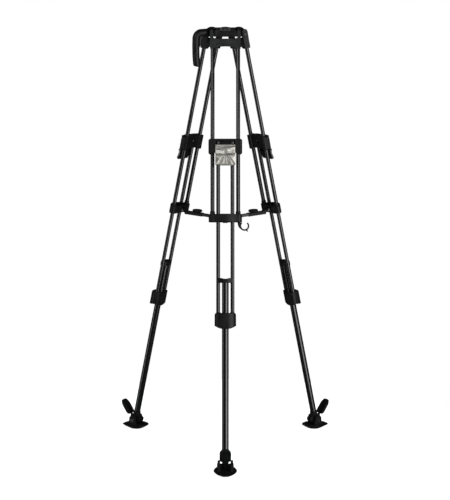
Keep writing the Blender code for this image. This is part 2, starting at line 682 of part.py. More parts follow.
def pedal_mesh():
    """Thick thumb pedal with an eye in the ankle's fork; Z runs along the pedal."""
    half = [(0.0, 0.0095), (0.0125, 0.0095), (0.0160, 0.0120), (PEDAL_WIDTH / 2.0, 0.0165)]
    half += [(PEDAL_WIDTH / 2.0, PEDAL_LENGTH - 0.0210), (0.0175, PEDAL_LENGTH - 0.0130)]
    half += [(0.0115, PEDAL_LENGTH - 0.0030), (0.0075, PEDAL_LENGTH), (0.0, PEDAL_LENGTH)]
    blank = prism(mirrored(half), "X", -0.020, 0.020)
    deep, tip = PEDAL_THICKNESS / 2.0, PEDAL_LENGTH + 0.001
    side = [(-0.0030, 0.0080), (0.0030, 0.0080), (deep, 0.0200), (deep, tip - 0.0050)]
    side += [(deep - 0.0020, tip), (0.0020 - deep, tip), (-deep, tip - 0.0050), (-deep, 0.0200)]
    eye = arc((0.0, 0.0), 0.0046, 150.0, 390.0, 6) + [(0.0028, 0.0130), (-0.0028, 0.0130)]
    operations = [
        ("INTERSECT", prism(side, "Y", -0.030, 0.030)),
        ("UNION", prism(eye, "Y", GAP - FORK_HALF, FORK_HALF - GAP)),
        ("UNION", prism(circle((0.0, 0.0), 0.0020, 10), "Y", -0.0072, 0.0072)),
    ]
    return finished(combined(blank, operations))


# ---------------------------------------------------------------- spreader

def arm_sleeve_mesh():
    """Leg half of a spreader arm: an eye at the bracket and a sleeve for the bar; X runs to the hub."""
    low, high = ARM_LINE - SLEEVE_HEIGHT / 2.0, ARM_LINE + SLEEVE_HEIGHT / 2.0
    outline = rounded_rectangle((-SLEEVE_WIDTH / 2.0, low), (SLEEVE_WIDTH / 2.0, high), 0.0022, 2)
    body = prism(outline, "X", 0.0080, SLEEVE_END)
    eye = arc((0.0, 0.0), 0.0055, 80.0, 240.0, 6) + [(0.0090, -0.0100), (0.0160, -0.0100), (0.0160, -0.0020)]
    across = BAR_WIDTH / 2.0 + SLIDE_GAP
    down = BAR_DEPTH / 2.0 + SLIDE_GAP
    cavity = [(-across, ARM_LINE - down), (across, ARM_LINE - down)]
    cavity += [(across, ARM_LINE + down), (-across, ARM_LINE + down)]
    operations = [
        ("UNION", prism(eye, "Y", -0.0088, 0.0088)),
        ("DIFFERENCE", prism(cavity, "X", 0.0110, 0.0900)),
        ("DIFFERENCE", prism(circle((0.0, 0.0), 0.0029, 10), "Y", -0.02, 0.02)),
    ]
    return finished(combined(body, operations))


def arm_bar_mesh():
    """Hub half of a spreader arm: a flat bar with a narrow eye; zero at the hub's pivot."""
    across, down = BAR_WIDTH / 2.0, BAR_DEPTH / 2.0
    bar_outline = [(-across, -down), (across, -down), (across, down), (-across, down)]
    bar = prism(bar_outline, "X", -BAR_LENGTH, -0.0130)
    eye = arc((0.0, 0.0), EYE_RADIUS, -90.0, 90.0, 6) + [(-0.0150, 0.0034), (-0.0150, -0.0034)]
    return finished(combined(bar, [("UNION", prism(eye, "Y", -0.0040, 0.0040))]))


def knob_mesh():
    """Fluted locking knob of a spreader arm."""
    lobes = 12
    outline = []
    for i in range(lobes * 2):
        radius = KNOB_RADIUS if i % 2 == 0 else KNOB_RADIUS - 0.0014
        angle = math.pi * i / lobes
        outline.append((radius * math.cos(angle), radius * math.sin(angle)))

    def level(height, scale):
        return [(x * scale, y * scale, height) for x, y in outline]

    top = KNOB_HEIGHT
    levels = [level(0.0, 0.55), level(0.0022, 0.96), level(top - 0.0024, 1.0), level(top, 0.90)]
    return finished(stack(levels))


def hub_mesh():
    """Spreader's middle: a round block with a slot for each arm's eye."""
    profile = circle((0.0, 0.0), HUB_RADIUS, 30)
    block = prism(profile, "Z", -HUB_HALF_HEIGHT, HUB_HALF_HEIGHT)
    cap = prism(circle((0.0, 0.0), 0.0110, 18), "Z", -HUB_HALF_HEIGHT - 0.002, HUB_HALF_HEIGHT + 0.002)
    operations = [("UNION", cap)]
    side = HUB_SLOT / 2.0
    slot = prism([(0.0125, -side), (0.0400, -side), (0.0400, side), (0.0125, side)], "Z", -0.02, 0.02)
    for azimuth in AZIMUTHS.values():
        operations.append(("DIFFERENCE", turned(slot, azimuth)))
    return finished(combined(block, operations))


# ---------------------------------------------------------------- assembly

def build():
    clear_scene()
    casting = make_material("black_casting", (0.030, 0.031, 0.033), 0.42, 0.0)
    carbon = make_material("black_tube", (0.022, 0.023, 0.026), 0.30, 0.4)
    silver = make_material("nickel", (0.62, 0.61, 0.56), 0.24, 1.0)
    rubber = make_material("black_rubber", (0.016, 0.017, 0.019), 0.62, 0.0)
    grey = make_material("grey_casting", (0.075, 0.077, 0.080), 0.45, 0.0)

    crown_frame = make_frame("crown_axis", (0.0, AXIS_Y, 0.0))
    add_piece("crown_bowl", crown_mesh(), casting, crown_frame)
    front_station = make_frame("front_lug_axis", (0.0, 0.0, 0.0), (0.0, 0.0, AZIMUTHS["front"]), crown_frame)
    add_piece("hinge_screw_plate", hinge_plate_mesh(), grey, front_station)
    handle_frame = make_frame("handle_axis", (0.0, 0.0, 0.0), (0.0, 0.0, HANDLE_AZIMUTH), crown_frame)
    add_piece("carry_handle", handle_mesh(), rubber, handle_frame)
    hub_frame = make_frame("hub_axis", (0.0, 0.0, HUB_HEIGHT), (0.0, 0.0, 0.0), crown_frame)
    add_piece("spreader_hub", hub_mesh(), casting, hub_frame)

    signs = (-1.0, 1.0)
    outer = [tube(OUTER_RADIUS, 0.0, sign * OUTER_Y, OUTER_END, SOCKET_TOP - GAP, 16) for sign in signs]
    middle = [tube(MID_RADIUS, MID_X, sign * MID_Y, MID_END, MID_TOP, 16) for sign in signs]
    single = tube(LOW_RADIUS, LOW_X, 0.0, LOW_END, GUIDE_BOTTOM + GUIDE_SOCKET_DEPTH - GAP, 20)
    leg_shapes = (
        ("leg_yoke", yoke_mesh(), casting),
        ("upper_tube_a", outer[0], carbon),
        ("upper_tube_b", outer[1], carbon),
        ("spreader_bracket", bracket_mesh(), casting),
        ("upper_clamp", clamp_mesh(), casting),
        ("mid_tube_a", middle[0], carbon),
        ("mid_tube_b", middle[1], carbon),
        ("lower_collar", collar_mesh(), casting),
        ("tube_guide", guide_mesh(), casting),
        ("lower_tube", single, carbon),
        ("ankle", ankle_mesh(), rubber),
    )
    lever, collar_lever, shoe, pedal = lever_mesh(), collar_lever_mesh(), shoe_mesh(), pedal_mesh()
    sleeve, bar, knob = arm_sleeve_mesh(), arm_bar_mesh(), knob_mesh()

    spread = math.radians(LEG_SPREAD)
    pivot_x, pivot_z = ARM_PIVOT
    arm_radius = HINGE_RADIUS - pivot_z * math.sin(spread) + pivot_x * math.cos(spread)
    arm_height = HINGE_HEIGHT + pivot_z * math.cos(spread) + pivot_x * math.sin(spread)

    for side, azimuth in AZIMUTHS.items():
        station = make_frame(f"{side}_azimuth", (0.0, 0.0, 0.0), (0.0, 0.0, azimuth), crown_frame)
        hinge = (HINGE_RADIUS, 0.0, HINGE_HEIGHT)
        leg = make_frame(f"{side}_leg_hinge", hinge, (0.0, -LEG_SPREAD, 0.0), station)
        for name, mesh, material in leg_shapes:
            add_piece(f"{name}_{side}", mesh, material, leg)
        lever_axis = make_frame(f"{side}_lever_axis", (LEVER_HINGE[0], 0.0, LEVER_HINGE[1]), parent=leg)
        add_piece(f"clamp_lever_{side}", lever, silver, lever_axis)
        x, z = COLLAR_LEVER_HINGE
        collar_lever_axis = make_frame(f"{side}_collar_lever_axis", (x, 0.0, z), parent=leg)
        add_piece(f"collar_lever_{side}", collar_lever, casting, collar_lever_axis)
        ankle = (LOW_X, 0.0, ANKLE_Z)
        ankle_axis = make_frame(f"{side}_ankle_axis", ankle, (0.0, LEG_SPREAD, 0.0), leg)
        add_piece(f"foot_shoe_{side}", shoe, rubber, ankle_axis)
        x, z = PEDAL_HINGE
        pedal_axis = make_frame(f"{side}_pedal_axis", (x, 0.0, z), (0.0, PEDAL_LEAN, 0.0), leg)
        add_piece(f"foot_pedal_{side}", pedal, rubber, pedal_axis)

        arm_pivot = (arm_radius, 0.0, arm_height)
        arm_axis = make_frame(f"{side}_arm_axis", arm_pivot, (0.0, ARM_DROP, 180.0), station)
        add_piece(f"arm_sleeve_{side}", sleeve, casting, arm_axis)
        bar_axis = make_frame(f"{side}_bar_axis", (ARM_LENGTH, 0.0, ARM_LINE), parent=arm_axis)
        add_piece(f"arm_bar_{side}", bar, casting, bar_axis)
        knob_seat = (KNOB_REACH, 0.0, ARM_LINE + SLEEVE_HEIGHT / 2.0 + GAP)
        knob_axis = make_frame(f"{side}_knob_axis", knob_seat, parent=arm_axis)
        add_piece(f"arm_knob_{side}", knob, rubber, knob_axis)

    add_piece("cable_hook", hook_mesh(), casting, bpy.data.objects["front_leg_hinge"])


build()
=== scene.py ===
"""Looks of the two-stage bowl tripod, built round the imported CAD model. Metres, +Z up."""
import math

import bmesh
import bpy
from mathutils import Matrix, Vector


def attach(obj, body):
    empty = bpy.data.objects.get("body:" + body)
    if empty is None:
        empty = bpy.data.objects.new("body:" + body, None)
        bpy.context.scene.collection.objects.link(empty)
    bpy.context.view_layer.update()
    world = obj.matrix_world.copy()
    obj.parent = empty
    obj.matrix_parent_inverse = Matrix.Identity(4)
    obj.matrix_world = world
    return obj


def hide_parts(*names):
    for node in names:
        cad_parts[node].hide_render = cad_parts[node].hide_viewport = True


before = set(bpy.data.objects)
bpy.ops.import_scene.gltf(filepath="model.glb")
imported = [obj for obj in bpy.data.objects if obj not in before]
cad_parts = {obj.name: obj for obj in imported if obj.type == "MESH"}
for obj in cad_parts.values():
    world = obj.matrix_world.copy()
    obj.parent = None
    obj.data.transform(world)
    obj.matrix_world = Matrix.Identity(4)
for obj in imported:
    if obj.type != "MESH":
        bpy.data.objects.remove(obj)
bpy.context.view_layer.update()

# The CAD's own stations and levels
AXIS_Y = 0.1041
HINGE_HEIGHT = 1.470
HINGE_RADIUS = 0.050
LEG_SPREAD = 12.8
AZIMUTHS = {"front": -90.0, "left": 150.0, "right": 30.0}
HANDLE_AZIMUTH = 210.0
RIM = 1.4945
BOWL_RADIUS = 0.0500
ANKLE = (0.0135, -1.4758)
PEDAL_HINGE = (0.0305, -1.4673)
PEDAL_LEAN = 47.0
ARM_PIVOT = (-0.0195, -0.6385)
ARM_DROP = 3.814
HUB_HEIGHT = 0.825
FLOOR_RADIUS = 1.05

# Leg levels and offsets, in the leg's frame
OUTER_TUBE = (0.0, 0.0440, 0.0070, -0.6470, -0.0123)      # outward, across, radius, low, high
MID_TUBE = (0.0110, 0.0244, 0.0067, -0.9950, -0.3750)
LOW_TUBE = (0.0135, 0.0, 0.0115, -1.4520, -0.8473)
LUG_SIDE = 0.0376
YOKE_FACE = 0.0105
YOKE_SIDE = 0.0530
CLAMP_BACK = -0.0040
CLAMP_PIN_LEVEL = -0.3850
LEVER_HINGE = (0.0246, -0.3898)
LEVER_HALF = 0.0345
LEVER_LENGTH = 0.0692
BRACKET_TOP = -0.6243
BRACKET_BOTTOM = -0.6512
BRACKET_BACK = -0.0125
COLLAR_LEVER_HINGE = (0.0352, -0.9655)
COLLAR_LEVER_HALF = 0.0368
COLLAR_LEVER_LENGTH = 0.0516
SHOE_LENGTH = 0.1030
SHOE_WIDTH = 0.0796
ARM_LINE = -0.0080
KNOB_REACH = 0.0565
KNOB_RADIUS = 0.0180
KNOB_HEIGHT = 0.0098
SLEEVE_HEIGHT = 0.0130
HUB_TOP = 0.0105


def turn(degrees, axis):
    """A rotation about one axis."""
    return Matrix.Rotation(math.radians(degrees), 4, axis)


def shift(x, y, z):
    """A move without rotation."""
    return Matrix.Translation((x, y, z))


# Frames: X points out of the crown or the leg, Y across it
CROWN = shift(0.0, AXIS_Y, 0.0)
STATION = {side: CROWN @ turn(azimuth, "Z") for side, azimuth in AZIMUTHS.items()}
HINGE = shift(HINGE_RADIUS, 0.0, HINGE_HEIGHT) @ turn(-LEG_SPREAD, "Y")
LEG = {side: at @ HINGE for side, at in STATION.items()}
FRONT_LEG_BACK = LEG["front"].inverted()
ARM = shift(ARM_PIVOT[0], 0.0, ARM_PIVOT[1]) @ turn(LEG_SPREAD, "Y") @ turn(180.0, "Z") @ turn(ARM_DROP, "Y")


# ---------------------------------------------------------------- materials

class Nodes:
    """A short way to write a node tree."""

    def __init__(self, name):
        self.material = bpy.data.materials.new(name)
        self.material.use_nodes = True
        self.tree = self.material.node_tree
        self.shader = self.tree.nodes["Principled BSDF"]
        self.place = self.add("ShaderNodeTexCoord").outputs["Object"]

    def add(self, kind, **settings):
        node = self.tree.nodes.new(kind)
        for key, value in settings.items():
            setattr(node, key, value)
        return node

    def link(self, source, target):
        self.tree.links.new(source, target)

    def stretched(self, scale):
        node = self.add("ShaderNodeMapping")
        node.inputs["Scale"].default_value = scale
        self.link(self.place, node.inputs["Vector"])
        return node.outputs["Vector"]

    def noise(self, scale, detail=2.0, vector=None, roughness=0.5):
        node = self.add("ShaderNodeTexNoise")
        node.inputs["Scale"].default_value = scale
        node.inputs["Detail"].default_value = detail
        node.inputs["Roughness"].default_value = roughness
        self.link(vector or self.place, node.inputs["Vector"])
        return node.outputs["Fac"]

    def cells(self, scale, feature="F1", vector=None):
        node = self.add("ShaderNodeTexVoronoi", feature=feature)
        node.inputs["Scale"].default_value = scale
        self.link(vector or self.place, node.inputs["Vector"])
        return node.outputs["Distance"]

    def spread(self, source, low, high, start=0.35, end=0.65):
        node = self.add("ShaderNodeMapRange")
        for key, value in (("From Min", start), ("From Max", end), ("To Min", low), ("To Max", high)):
            node.inputs[key].default_value = value
        self.link(source, node.inputs["Value"])
        return node.outputs["Result"]

    def ramp(self, source, stops):
        node = self.add("ShaderNodeValToRGB")
        elements = node.color_ramp.elements
        while len(elements) < len(stops):
            elements.new(0.5)
        for element, (position, color) in zip(elements, stops):
            element.position = position
            element.color = (*color, 1.0)
        self.link(source, node.inputs["Fac"])
        return node.outputs["Color"]

    def maths(self, operation, a, b):
        node = self.add("ShaderNodeMath", operation=operation)
        for value, socket in ((a, node.inputs[0]), (b, node.inputs[1])):
            if isinstance(value, (int, float)):
                socket.default_value = value
            else:
                self.link(value, socket)
        return node.outputs[0]

    def mixed(self, fac, a, b):
        node = self.add("ShaderNodeMix", data_type="RGBA")
        self.link(fac, node.inputs["Factor"])
        for value, socket in ((a, node.inputs[6]), (b, node.inputs[7])):
            if isinstance(value, tuple):
                socket.default_value = (*value, 1.0)
            else:
                self.link(value, socket)
        return node.outputs[2]

    def edge_wear(self, low=0.52, high=0.60):
        """0 on faces, 1 on proud edges."""
        pointiness = self.add("ShaderNodeNewGeometry").outputs["Pointiness"]
        return self.spread(pointiness, 0.0, 1.0, low, high)

    def outward(self):
        """1 where the surface faces out of the leg, 0 on its sides and back."""
        split = self.add("ShaderNodeSeparateXYZ")
        self.link(self.add("ShaderNodeTexCoord").outputs["Normal"], split.inputs[0])
        return self.spread(split.outputs["X"], 0.0, 1.0, 0.10, 0.22)

    def bump(self, height, strength, distance, after=None):
        node = self.add("ShaderNodeBump")
        node.inputs["Strength"].default_value = strength
        node.inputs["Distance"].default_value = distance
        self.link(height, node.inputs["Height"])
        if after is not None:
            self.link(after, node.inputs["Normal"])
        self.link(node.outputs["Normal"], self.shader.inputs["Normal"])
        return node.outputs["Normal"]

    def base(self, color):
        self.link(color, self.shader.inputs["Base Color"])

    def rough(self, value):
        self.link(value, self.shader.inputs["Roughness"])

    def set(self, **values):
        for key, value in values.items():
            self.shader.inputs[key.replace("_", " ").title().replace("Ior", "IOR")].default_value = value


def shaded(color, share):
    """A colour made lighter or darker."""
    return tuple(share * c for c in color)


def powder_coat(name, dark, light, grain=1500.0, depth=0.00010, rough=(0.40, 0.52), wear=0.5):
    """Fine-textured black coat on cast alloy, a little polished and paler along its edges."""
    n = Nodes(name)
    fine = n.noise(grain, 3.0)
    cloud = n.noise(38.0, 3.0)
    color = n.ramp(cloud, [(0.30, dark), (0.72, light)])
    edge = n.maths("MULTIPLY", n.edge_wear(), n.spread(n.noise(260.0, 2.0), 0.2 * wear, wear, 0.35, 0.65))
    n.base(n.mixed(edge, color, tuple(min(1.0, 2.6 * c + 0.02) for c in light)))
    n.rough(n.maths("SUBTRACT", n.spread(cloud, *rough), n.maths("MULTIPLY", edge, 0.12)))
    n.bump(fine, 0.55, depth)
    n.set(specular_ior_level=0.32)
    return n.material


def tube_coat(name, color):
    """Satin anodised tube, its tone and gloss drawn out in faint streaks along it."""
    n = Nodes(name)
    drawn = n.noise(900.0, 2.0, n.stretched((1.0, 1.0, 0.012)))
    cloud = n.noise(24.0, 3.0)
    streaks = n.noise(60.0, 2.0, n.stretched((1.0, 1.0, 0.08)))
    n.base(n.ramp(streaks, [(0.30, shaded(color, 0.75)), (0.70, shaded(color, 1.25))]))
    n.rough(n.maths("ADD", n.spread(cloud, 0.19, 0.205), n.spread(drawn, -0.003, 0.004)))
    n.set(specular_ior_level=1.0)
    return n.material


def nickel(name):
    """Warm satin nickel on the outer face, brighter on its worn edges; near black on the sides and back."""
    n = Nodes(name)
    plated = n.outward()
    cloud = n.noise(55.0, 4.0)
    fine = n.noise(1700.0, 3.0)
    stops = [(0.28, (0.50, 0.485, 0.43)), (0.55, (0.63, 0.615, 0.56)), (0.78, (0.71, 0.70, 0.65))]
    worn = n.maths("MULTIPLY", n.edge_wear(0.53, 0.62), 0.6)
    # Near black wherever the surface faces away from the leg's outside, on the sides and back
    metal, side_and_back_black = n.mixed(worn, n.ramp(cloud, stops), (0.84, 0.83, 0.79)), (0.0060, 0.0062, 0.0068)
    n.base(n.mixed(plated, side_and_back_black, metal))
    n.rough(n.maths("ADD", n.spread(cloud, 0.30, 0.36), n.spread(fine, -0.01, 0.02)))
    n.bump(fine, 0.12, 0.00003)
    n.link(n.maths("MULTIPLY", plated, 0.72), n.shader.inputs["Metallic"])
    return n.material


def rubber(name, dark, light, pebble=0.0, rough=(0.52, 0.68)):
    """Moulded rubber or soft plastic, with a pebbled skin where the hand holds it."""
    n = Nodes(name)
    cloud = n.noise(30.0, 3.0)
    fine = n.noise(2200.0, 2.0)
    dust = n.maths("MULTIPLY", n.spread(n.noise(120.0, 4.0), 0.0, 1.0, 0.45, 0.75), 0.5)
    n.base(n.mixed(dust, n.ramp(cloud, [(0.30, dark), (0.70, light)]), shaded(light, 1.7)))
    n.rough(n.spread(cloud, *rough))
    normal = n.bump(fine, 0.35, 0.00006)
    if pebble:
        n.bump(n.cells(pebble, "SMOOTH_F1"), 0.45, 0.00030, normal)
    n.set(specular_ior_level=0.30)
    return n.material


def screw_metal(name, color, rough):
    """Turned steel, finely brushed."""
    n = Nodes(name)
    brushed = n.noise(1300.0, 2.0, n.stretched((1.0, 0.05, 1.0)))
    n.base(n.ramp(n.noise(200.0, 3.0), [(0.3, shaded(color, 0.8)), (0.7, color)]))
    n.rough(n.spread(brushed, rough - 0.05, rough + 0.07))
    n.bump(brushed, 0.15, 0.00003)
    n.set(metallic=1.0)
    return n.material


CASTING = powder_coat("cast_black", (0.0040, 0.0041, 0.0046), (0.0075, 0.0077, 0.0083))
# Pale grey coat: the screw plate's own grey, and on the lug rib a painted highlight
GREY_PLATE_AND_HIGHLIGHT = powder_coat("cast_grey", (0.030, 0.031, 0.032), (0.050, 0.051, 0.052),
                    grain=1100.0, depth=0.00016, rough=(0.46, 0.58), wear=0.6)
BRIDGE = powder_coat("cast_bridge", (0.015, 0.0155, 0.016), (0.034, 0.035, 0.036),
                     grain=1000.0, depth=0.00020, rough=(0.44, 0.58), wear=0.7)
MOULDING = powder_coat("moulded_black", (0.0040, 0.0042, 0.0044), (0.0075, 0.0077, 0.0080),
                       grain=1900.0, depth=0.00007, rough=(0.38, 0.48), wear=0.35)
TUBE = tube_coat("tube_black", (0.0030, 0.0032, 0.0038))
NICKEL = nickel("satin_nickel")
RUBBER = rubber("foot_rubber", (0.0022, 0.0024, 0.0027), (0.0048, 0.0050, 0.0054))
GRIP = rubber("grip_rubber", (0.0060, 0.0062, 0.0066), (0.0110, 0.0114, 0.0120),
              pebble=620.0, rough=(0.30, 0.40))
STEEL = screw_metal("black_steel", (0.075, 0.076, 0.080), 0.34)
BRIGHT = screw_metal("bright_steel", (0.62, 0.62, 0.60), 0.24)


# ---------------------------------------------------------------- shape helpers

def arc(centre, radius, start, end, steps):
    """Points on an arc, its angles in degrees."""
    points = []
    for i in range(steps + 1):
        angle = math.radians(start + (end - start) * i / steps)
        points.append((centre[0] + radius * math.cos(angle), centre[1] + radius * math.sin(angle)))
    return points


def circle(centre, radius, segments=32):
    """A closed round outline."""
    return arc(centre, radius, 0.0, 360.0, segments)[:-1]


def rounded_rectangle(low, high, radius, steps=5):
    """A closed outline between two opposite corners."""
    corners = (
        ((high[0] - radius, high[1] - radius), 0.0),
        ((low[0] + radius, high[1] - radius), 90.0),
        ((low[0] + radius, low[1] + radius), 180.0),
        ((high[0] - radius, low[1] + radius), 270.0),
    )
    points = []
    for centre, start in corners:
        points += arc(centre, radius, start, start + 90.0, steps)
    return points


def mirrored(half):
    """An outline from its half, mirrored in its first coordinate."""
    return list(half) + [(-y, z) for y, z in reversed(half) if abs(y) > 1e-9]


def closed_half(half):
    """An outline from its half with y >= 0, mirrored in its second coordinate."""
    return list(half) + [(x, -y) for x, y in reversed(half) if y > 1e-9]


def on_side(sign, near, far):
    """The span between two distances from the middle plane, on the side of the sign."""
    return sorted((sign * near, sign * far))


def bell(value, width):
    """1 at zero, falling off smoothly over the width."""
    return math.exp(-(value / width) ** 2)


def ramped(value, low, high):
    """0 below low, 1 above high, straight between them."""
    return min(1.0, max(0.0, (value - low) / (high - low)))


def ease(value, low, high):
    """0 below low, 1 above high, with soft ends."""
    t = ramped(value, low, high)
    return t * t * (3.0 - 2.0 * t)


def to_mesh(bm):
    """A mesh with its faces turned outward."""
    bmesh.ops.recalc_face_normals(bm, faces=bm.faces)
    mesh = bpy.data.meshes.new("shape")
    bm.to_mesh(mesh)
    bm.free()
    return mesh


def stack(sections, closed=False):
    """Skins a row of closed sections; the ends are capped unless the row closes on itself."""
    bm = bmesh.new()
    rings = [[bm.verts.new(point) for point in section] for section in sections]
    pairs = list(zip(rings, rings[1:]))
    if closed:
        pairs.append((rings[-1], rings[0]))
    for lower, upper in pairs:
        count = len(lower)
        for i in range(count):
            j = (i + 1) % count
            bm.faces.new((lower[i], lower[j], upper[j], upper[i]))
    if not closed:
        bm.faces.new(list(reversed(rings[0])))
        bm.faces.new(rings[-1])
    return to_mesh(bm)


def prism(outline, axis, low, high):
    """An outline drawn along an axis; its pairs are the other two coordinates."""
    def at(pair, level):
        if axis == "X":
            return (level, pair[0], pair[1])
        if axis == "Y":
            return (pair[0], level, pair[1])
        return (pair[0], pair[1], level)

    return stack([[at(pair, level) for pair in outline] for level in (low, high)])


def revolved(profile, segments=64):
    """Turns a closed profile of (radius, height) pairs about Z."""
    sections = []
    for i in range(segments):
        angle = 2.0 * math.pi * i / segments
        sections.append([(r * math.cos(angle), r * math.sin(angle), z) for r, z in profile])
    return stack(sections, closed=True)


def moved(mesh, matrix):
    """A moved copy."""
    copy = mesh.copy()
    copy.transform(matrix)
    return copy


def evaluated(mesh, build_modifiers):
    """The mesh after modifiers, which build_modifiers adds to a passing object."""
    blank = bpy.data.objects.new("blank", mesh)
    bpy.context.scene.collection.objects.link(blank)
    helpers = build_modifiers(blank) or []
    bpy.context.view_layer.update()
    result = bpy.data.meshes.new_from_object(blank.evaluated_get(bpy.context.evaluated_depsgraph_get()))
    for thing in [blank] + helpers:
        bpy.data.objects.remove(thing, do_unlink=True)
    return result


def combined(base, operations):
    """The base after a list of (operation, shape) booleans."""
    def build_modifiers(blank):
        helpers = []
        for operation, mesh in operations:
            tool = bpy.data.objects.new("tool", mesh)
            bpy.context.scene.collection.objects.link(tool)
            helpers.append(tool)
            modifier = blank.modifiers.new("shape", "BOOLEAN")
            modifier.operation = operation
            modifier.solver = "EXACT"
            modifier.object = tool
        return helpers

    return evaluated(base, build_modifiers)


def softened(mesh, voxel=0.0007, passes=5, share=0.35):
    """Rounds every edge of a shape as a casting's are, and thins its faces out again."""
    def build_modifiers(blank):
        remesh = blank.modifiers.new("skin", "REMESH")
        remesh.mode = "VOXEL"
        remesh.voxel_size = voxel
        smooth = blank.modifiers.new("soft", "SMOOTH")
        smooth.factor = 0.5
        smooth.iterations = passes
        thin = blank.modifiers.new("thin", "DECIMATE")
        thin.ratio = share

    result = evaluated(mesh, build_modifiers)
    result.materials.clear()
    result.shade_smooth()
    return result


def crisp(mesh, angle=32.0):
    """Smooth shading that keeps every edge above the angle sharp."""
    mesh.materials.clear()
    mesh.shade_smooth()
    mesh.set_sharp_from_angle(angle=math.radians(angle))
    return mesh


def from_cad(node, back=FRONT_LEG_BACK):
    """A copy of a node's shape in a frame of its own: the front leg's, unless another is given."""
    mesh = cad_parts[node].data.copy()
    mesh.transform(back)
    bm = bmesh.new()
    bm.from_mesh(mesh)
    bmesh.ops.remove_doubles(bm, verts=bm.verts, dist=1e-6)
    return to_mesh(bm)


def place(name, mesh, matrix, body, material, slot, *nodes):
    """Puts a piece in the scene on its body; nodes are the CAD nodes it stands for."""
    if not mesh.materials:
        mesh.materials.append(material)
    piece = bpy.data.objects.new(name, mesh)
    piece.matrix_world = matrix
    bpy.context.scene.collection.objects.link(piece)
    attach(piece, body)
    if nodes:
        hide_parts(*nodes)
    return piece


# ---------------------------------------------------------------- rods, fittings and where they go

def smooth_loop(points, steps=6):
    """A smooth closed outline through every point."""
    count, outline = len(points), []
    for i in range(count):
        a, b, c, d = (Vector(points[(i + k) % count]) for k in (-1, 0, 1, 2))
        for step in range(steps):
            t = step / steps
            outline.append(tuple(0.5 * (2 * b + (c - a) * t + (2 * a - 5 * b + 4 * c - d) * t * t
                                        + (3 * b - a - 3 * c + d) * t ** 3)))
    return outline


def wire(path, widths, thicks, segments=20):
    """A rod along a path of (across, up) pairs; widths lie in the path's plane."""
    sections, last = [], len(path) - 1
    for i, (y, z) in enumerate(path):
        before, after = path[max(i - 1, 0)], path[min(i + 1, last)]
        side = Vector((before[1] - after[1], after[0] - before[0])).normalized()
        sections.append([(thicks[i] * v, y + side.x * u * widths[i], z + side.y * u * widths[i])
                         for u, v in circle((0.0, 0.0), 1.0, segments)])
    return stack(sections)


def tube_shape(outward, across, radius, low, high, wall=0.0012, rim=0.0003):
    """An open tube with eased rims."""
    profile = [(radius - wall, low), (radius - rim, low), (radius, low + rim), (radius, high - rim)]
    profile += [(radius - rim, high), (radius - wall, high)]
    return crisp(moved(revolved(profile, 56), shift(outward, across, 0.0)))


def disc_shape(profile, segments=40):
    """A turned solid from (radius, height) pairs that start and end off the axis."""
    round_outline = circle((0.0, 0.0), 1.0, segments)
    return crisp(stack([[(r * x, r * y, z) for x, y in round_outline] for r, z in profile]))


def cap_screw(radius, height, key):
    """A cap screw's head with a hexagonal socket, standing on z = 0."""
    count = 36
    ring = circle((0.0, 0.0), 1.0, count)
    hexagon = []
    for i, (x, y) in enumerate(ring):
        reach = key / math.cos(math.radians((360.0 * i / count) % 60.0 - 30.0))
        hexagon.append((x * reach, y * reach))
    chamfer = 0.12 * radius
    levels = [(radius, 0.0), (radius, height - chamfer), (radius - chamfer, height)]
    sections = [[(r * x, r * y, z) for x, y in ring] for r, z in levels]
    sections += [[(x, y, z) for x, y in hexagon] for z in (height, 0.35 * height)]
    return crisp(stack(sections), 25.0)


def each_leg(kind, mesh, body, material, slot, *nodes, seat=Matrix()):
    """The same piece on every leg; {} in a body's or node's name is the leg's side."""
    for side, leg in LEG.items():
        stands_for = [n.format(side) for n in nodes]
        place(f"{kind}_{side}", mesh, leg @ seat, body.format(side), material, slot, *stands_for)


def each_spot(kind, mesh, spots, body, material, slot):
    """Small fittings on every leg, at a list of matrices in the leg's frame."""
    for side, leg in LEG.items():
        for i, spot in enumerate(spots):
            place(f"{kind}_{i + 1}_{side}", mesh, leg @ spot, body.format(side), material, slot)


def facing(x, y, z, axis):
    """Puts a fitting's Z along +X, -X, +Y or -Y of the leg."""
    turns = {"+X": turn(90.0, "Y"), "-X": turn(-90.0, "Y"), "+Y": turn(-90.0, "X"), "-Y": turn(90.0, "X")}
    return shift(x, y, z) @ turns[axis]


# ---------------------------------------------------------------- tubes

for kind, (outward, across, radius, low, high), body in (
        ("upper", OUTER_TUBE, "leg_{}"), ("mid", MID_TUBE, "mid_stage_{}")):
    for letter, sign in (("a", -1.0), ("b", 1.0)):
        shape = tube_shape(outward, sign * across, radius, low, high)
        node = f"{kind}_tube_{letter}_" + "{}"
        each_leg(f"{kind}_tube_skin_{letter}", shape, body, TUBE, "tube_black", node)
each_leg("lower_tube_skin", tube_shape(*LOW_TUBE), "low_stage_{}", TUBE, "tube_black", "lower_tube_{}")

# ---------------------------------------------------------------- yoke, with its trunnion caps and washers

panel_depth, groove_floor, cap_seat = 0.0009, 0.0098, 0.0008
panel = rounded_rectangle((-0.0330, -0.0365), (0.0330, -0.0190), 0.0030)
groove = rounded_rectangle((0.0455, -0.0400), (0.0498, 0.0060), 0.0020)
yoke_cuts = [("DIFFERENCE", prism(panel, "X", YOKE_FACE - panel_depth, 0.02))]
for sign in (-1.0, 1.0):
    for low, high in ((groove_floor, 0.02), (-0.02, -groove_floor)):
        yoke_cuts.append(("DIFFERENCE", prism([(sign * y, z) for y, z in groove], "X", low, high)))
    spot_face = prism(circle((0.0, 0.0), 0.0078, 40), "Y", *on_side(sign, YOKE_SIDE - cap_seat, 0.060))
    yoke_cuts.append(("DIFFERENCE", spot_face))
yoke = softened(combined(from_cad("leg_yoke_front"), yoke_cuts), 0.0008, 4, 0.22)
each_leg("yoke_casting", yoke, "leg_{}", BRIDGE, "casting_black", "leg_yoke_{}")
pin_cap = cap_screw(0.0064, 0.0026, 0.0027)
cap_foot = YOKE_SIDE - 0.0009
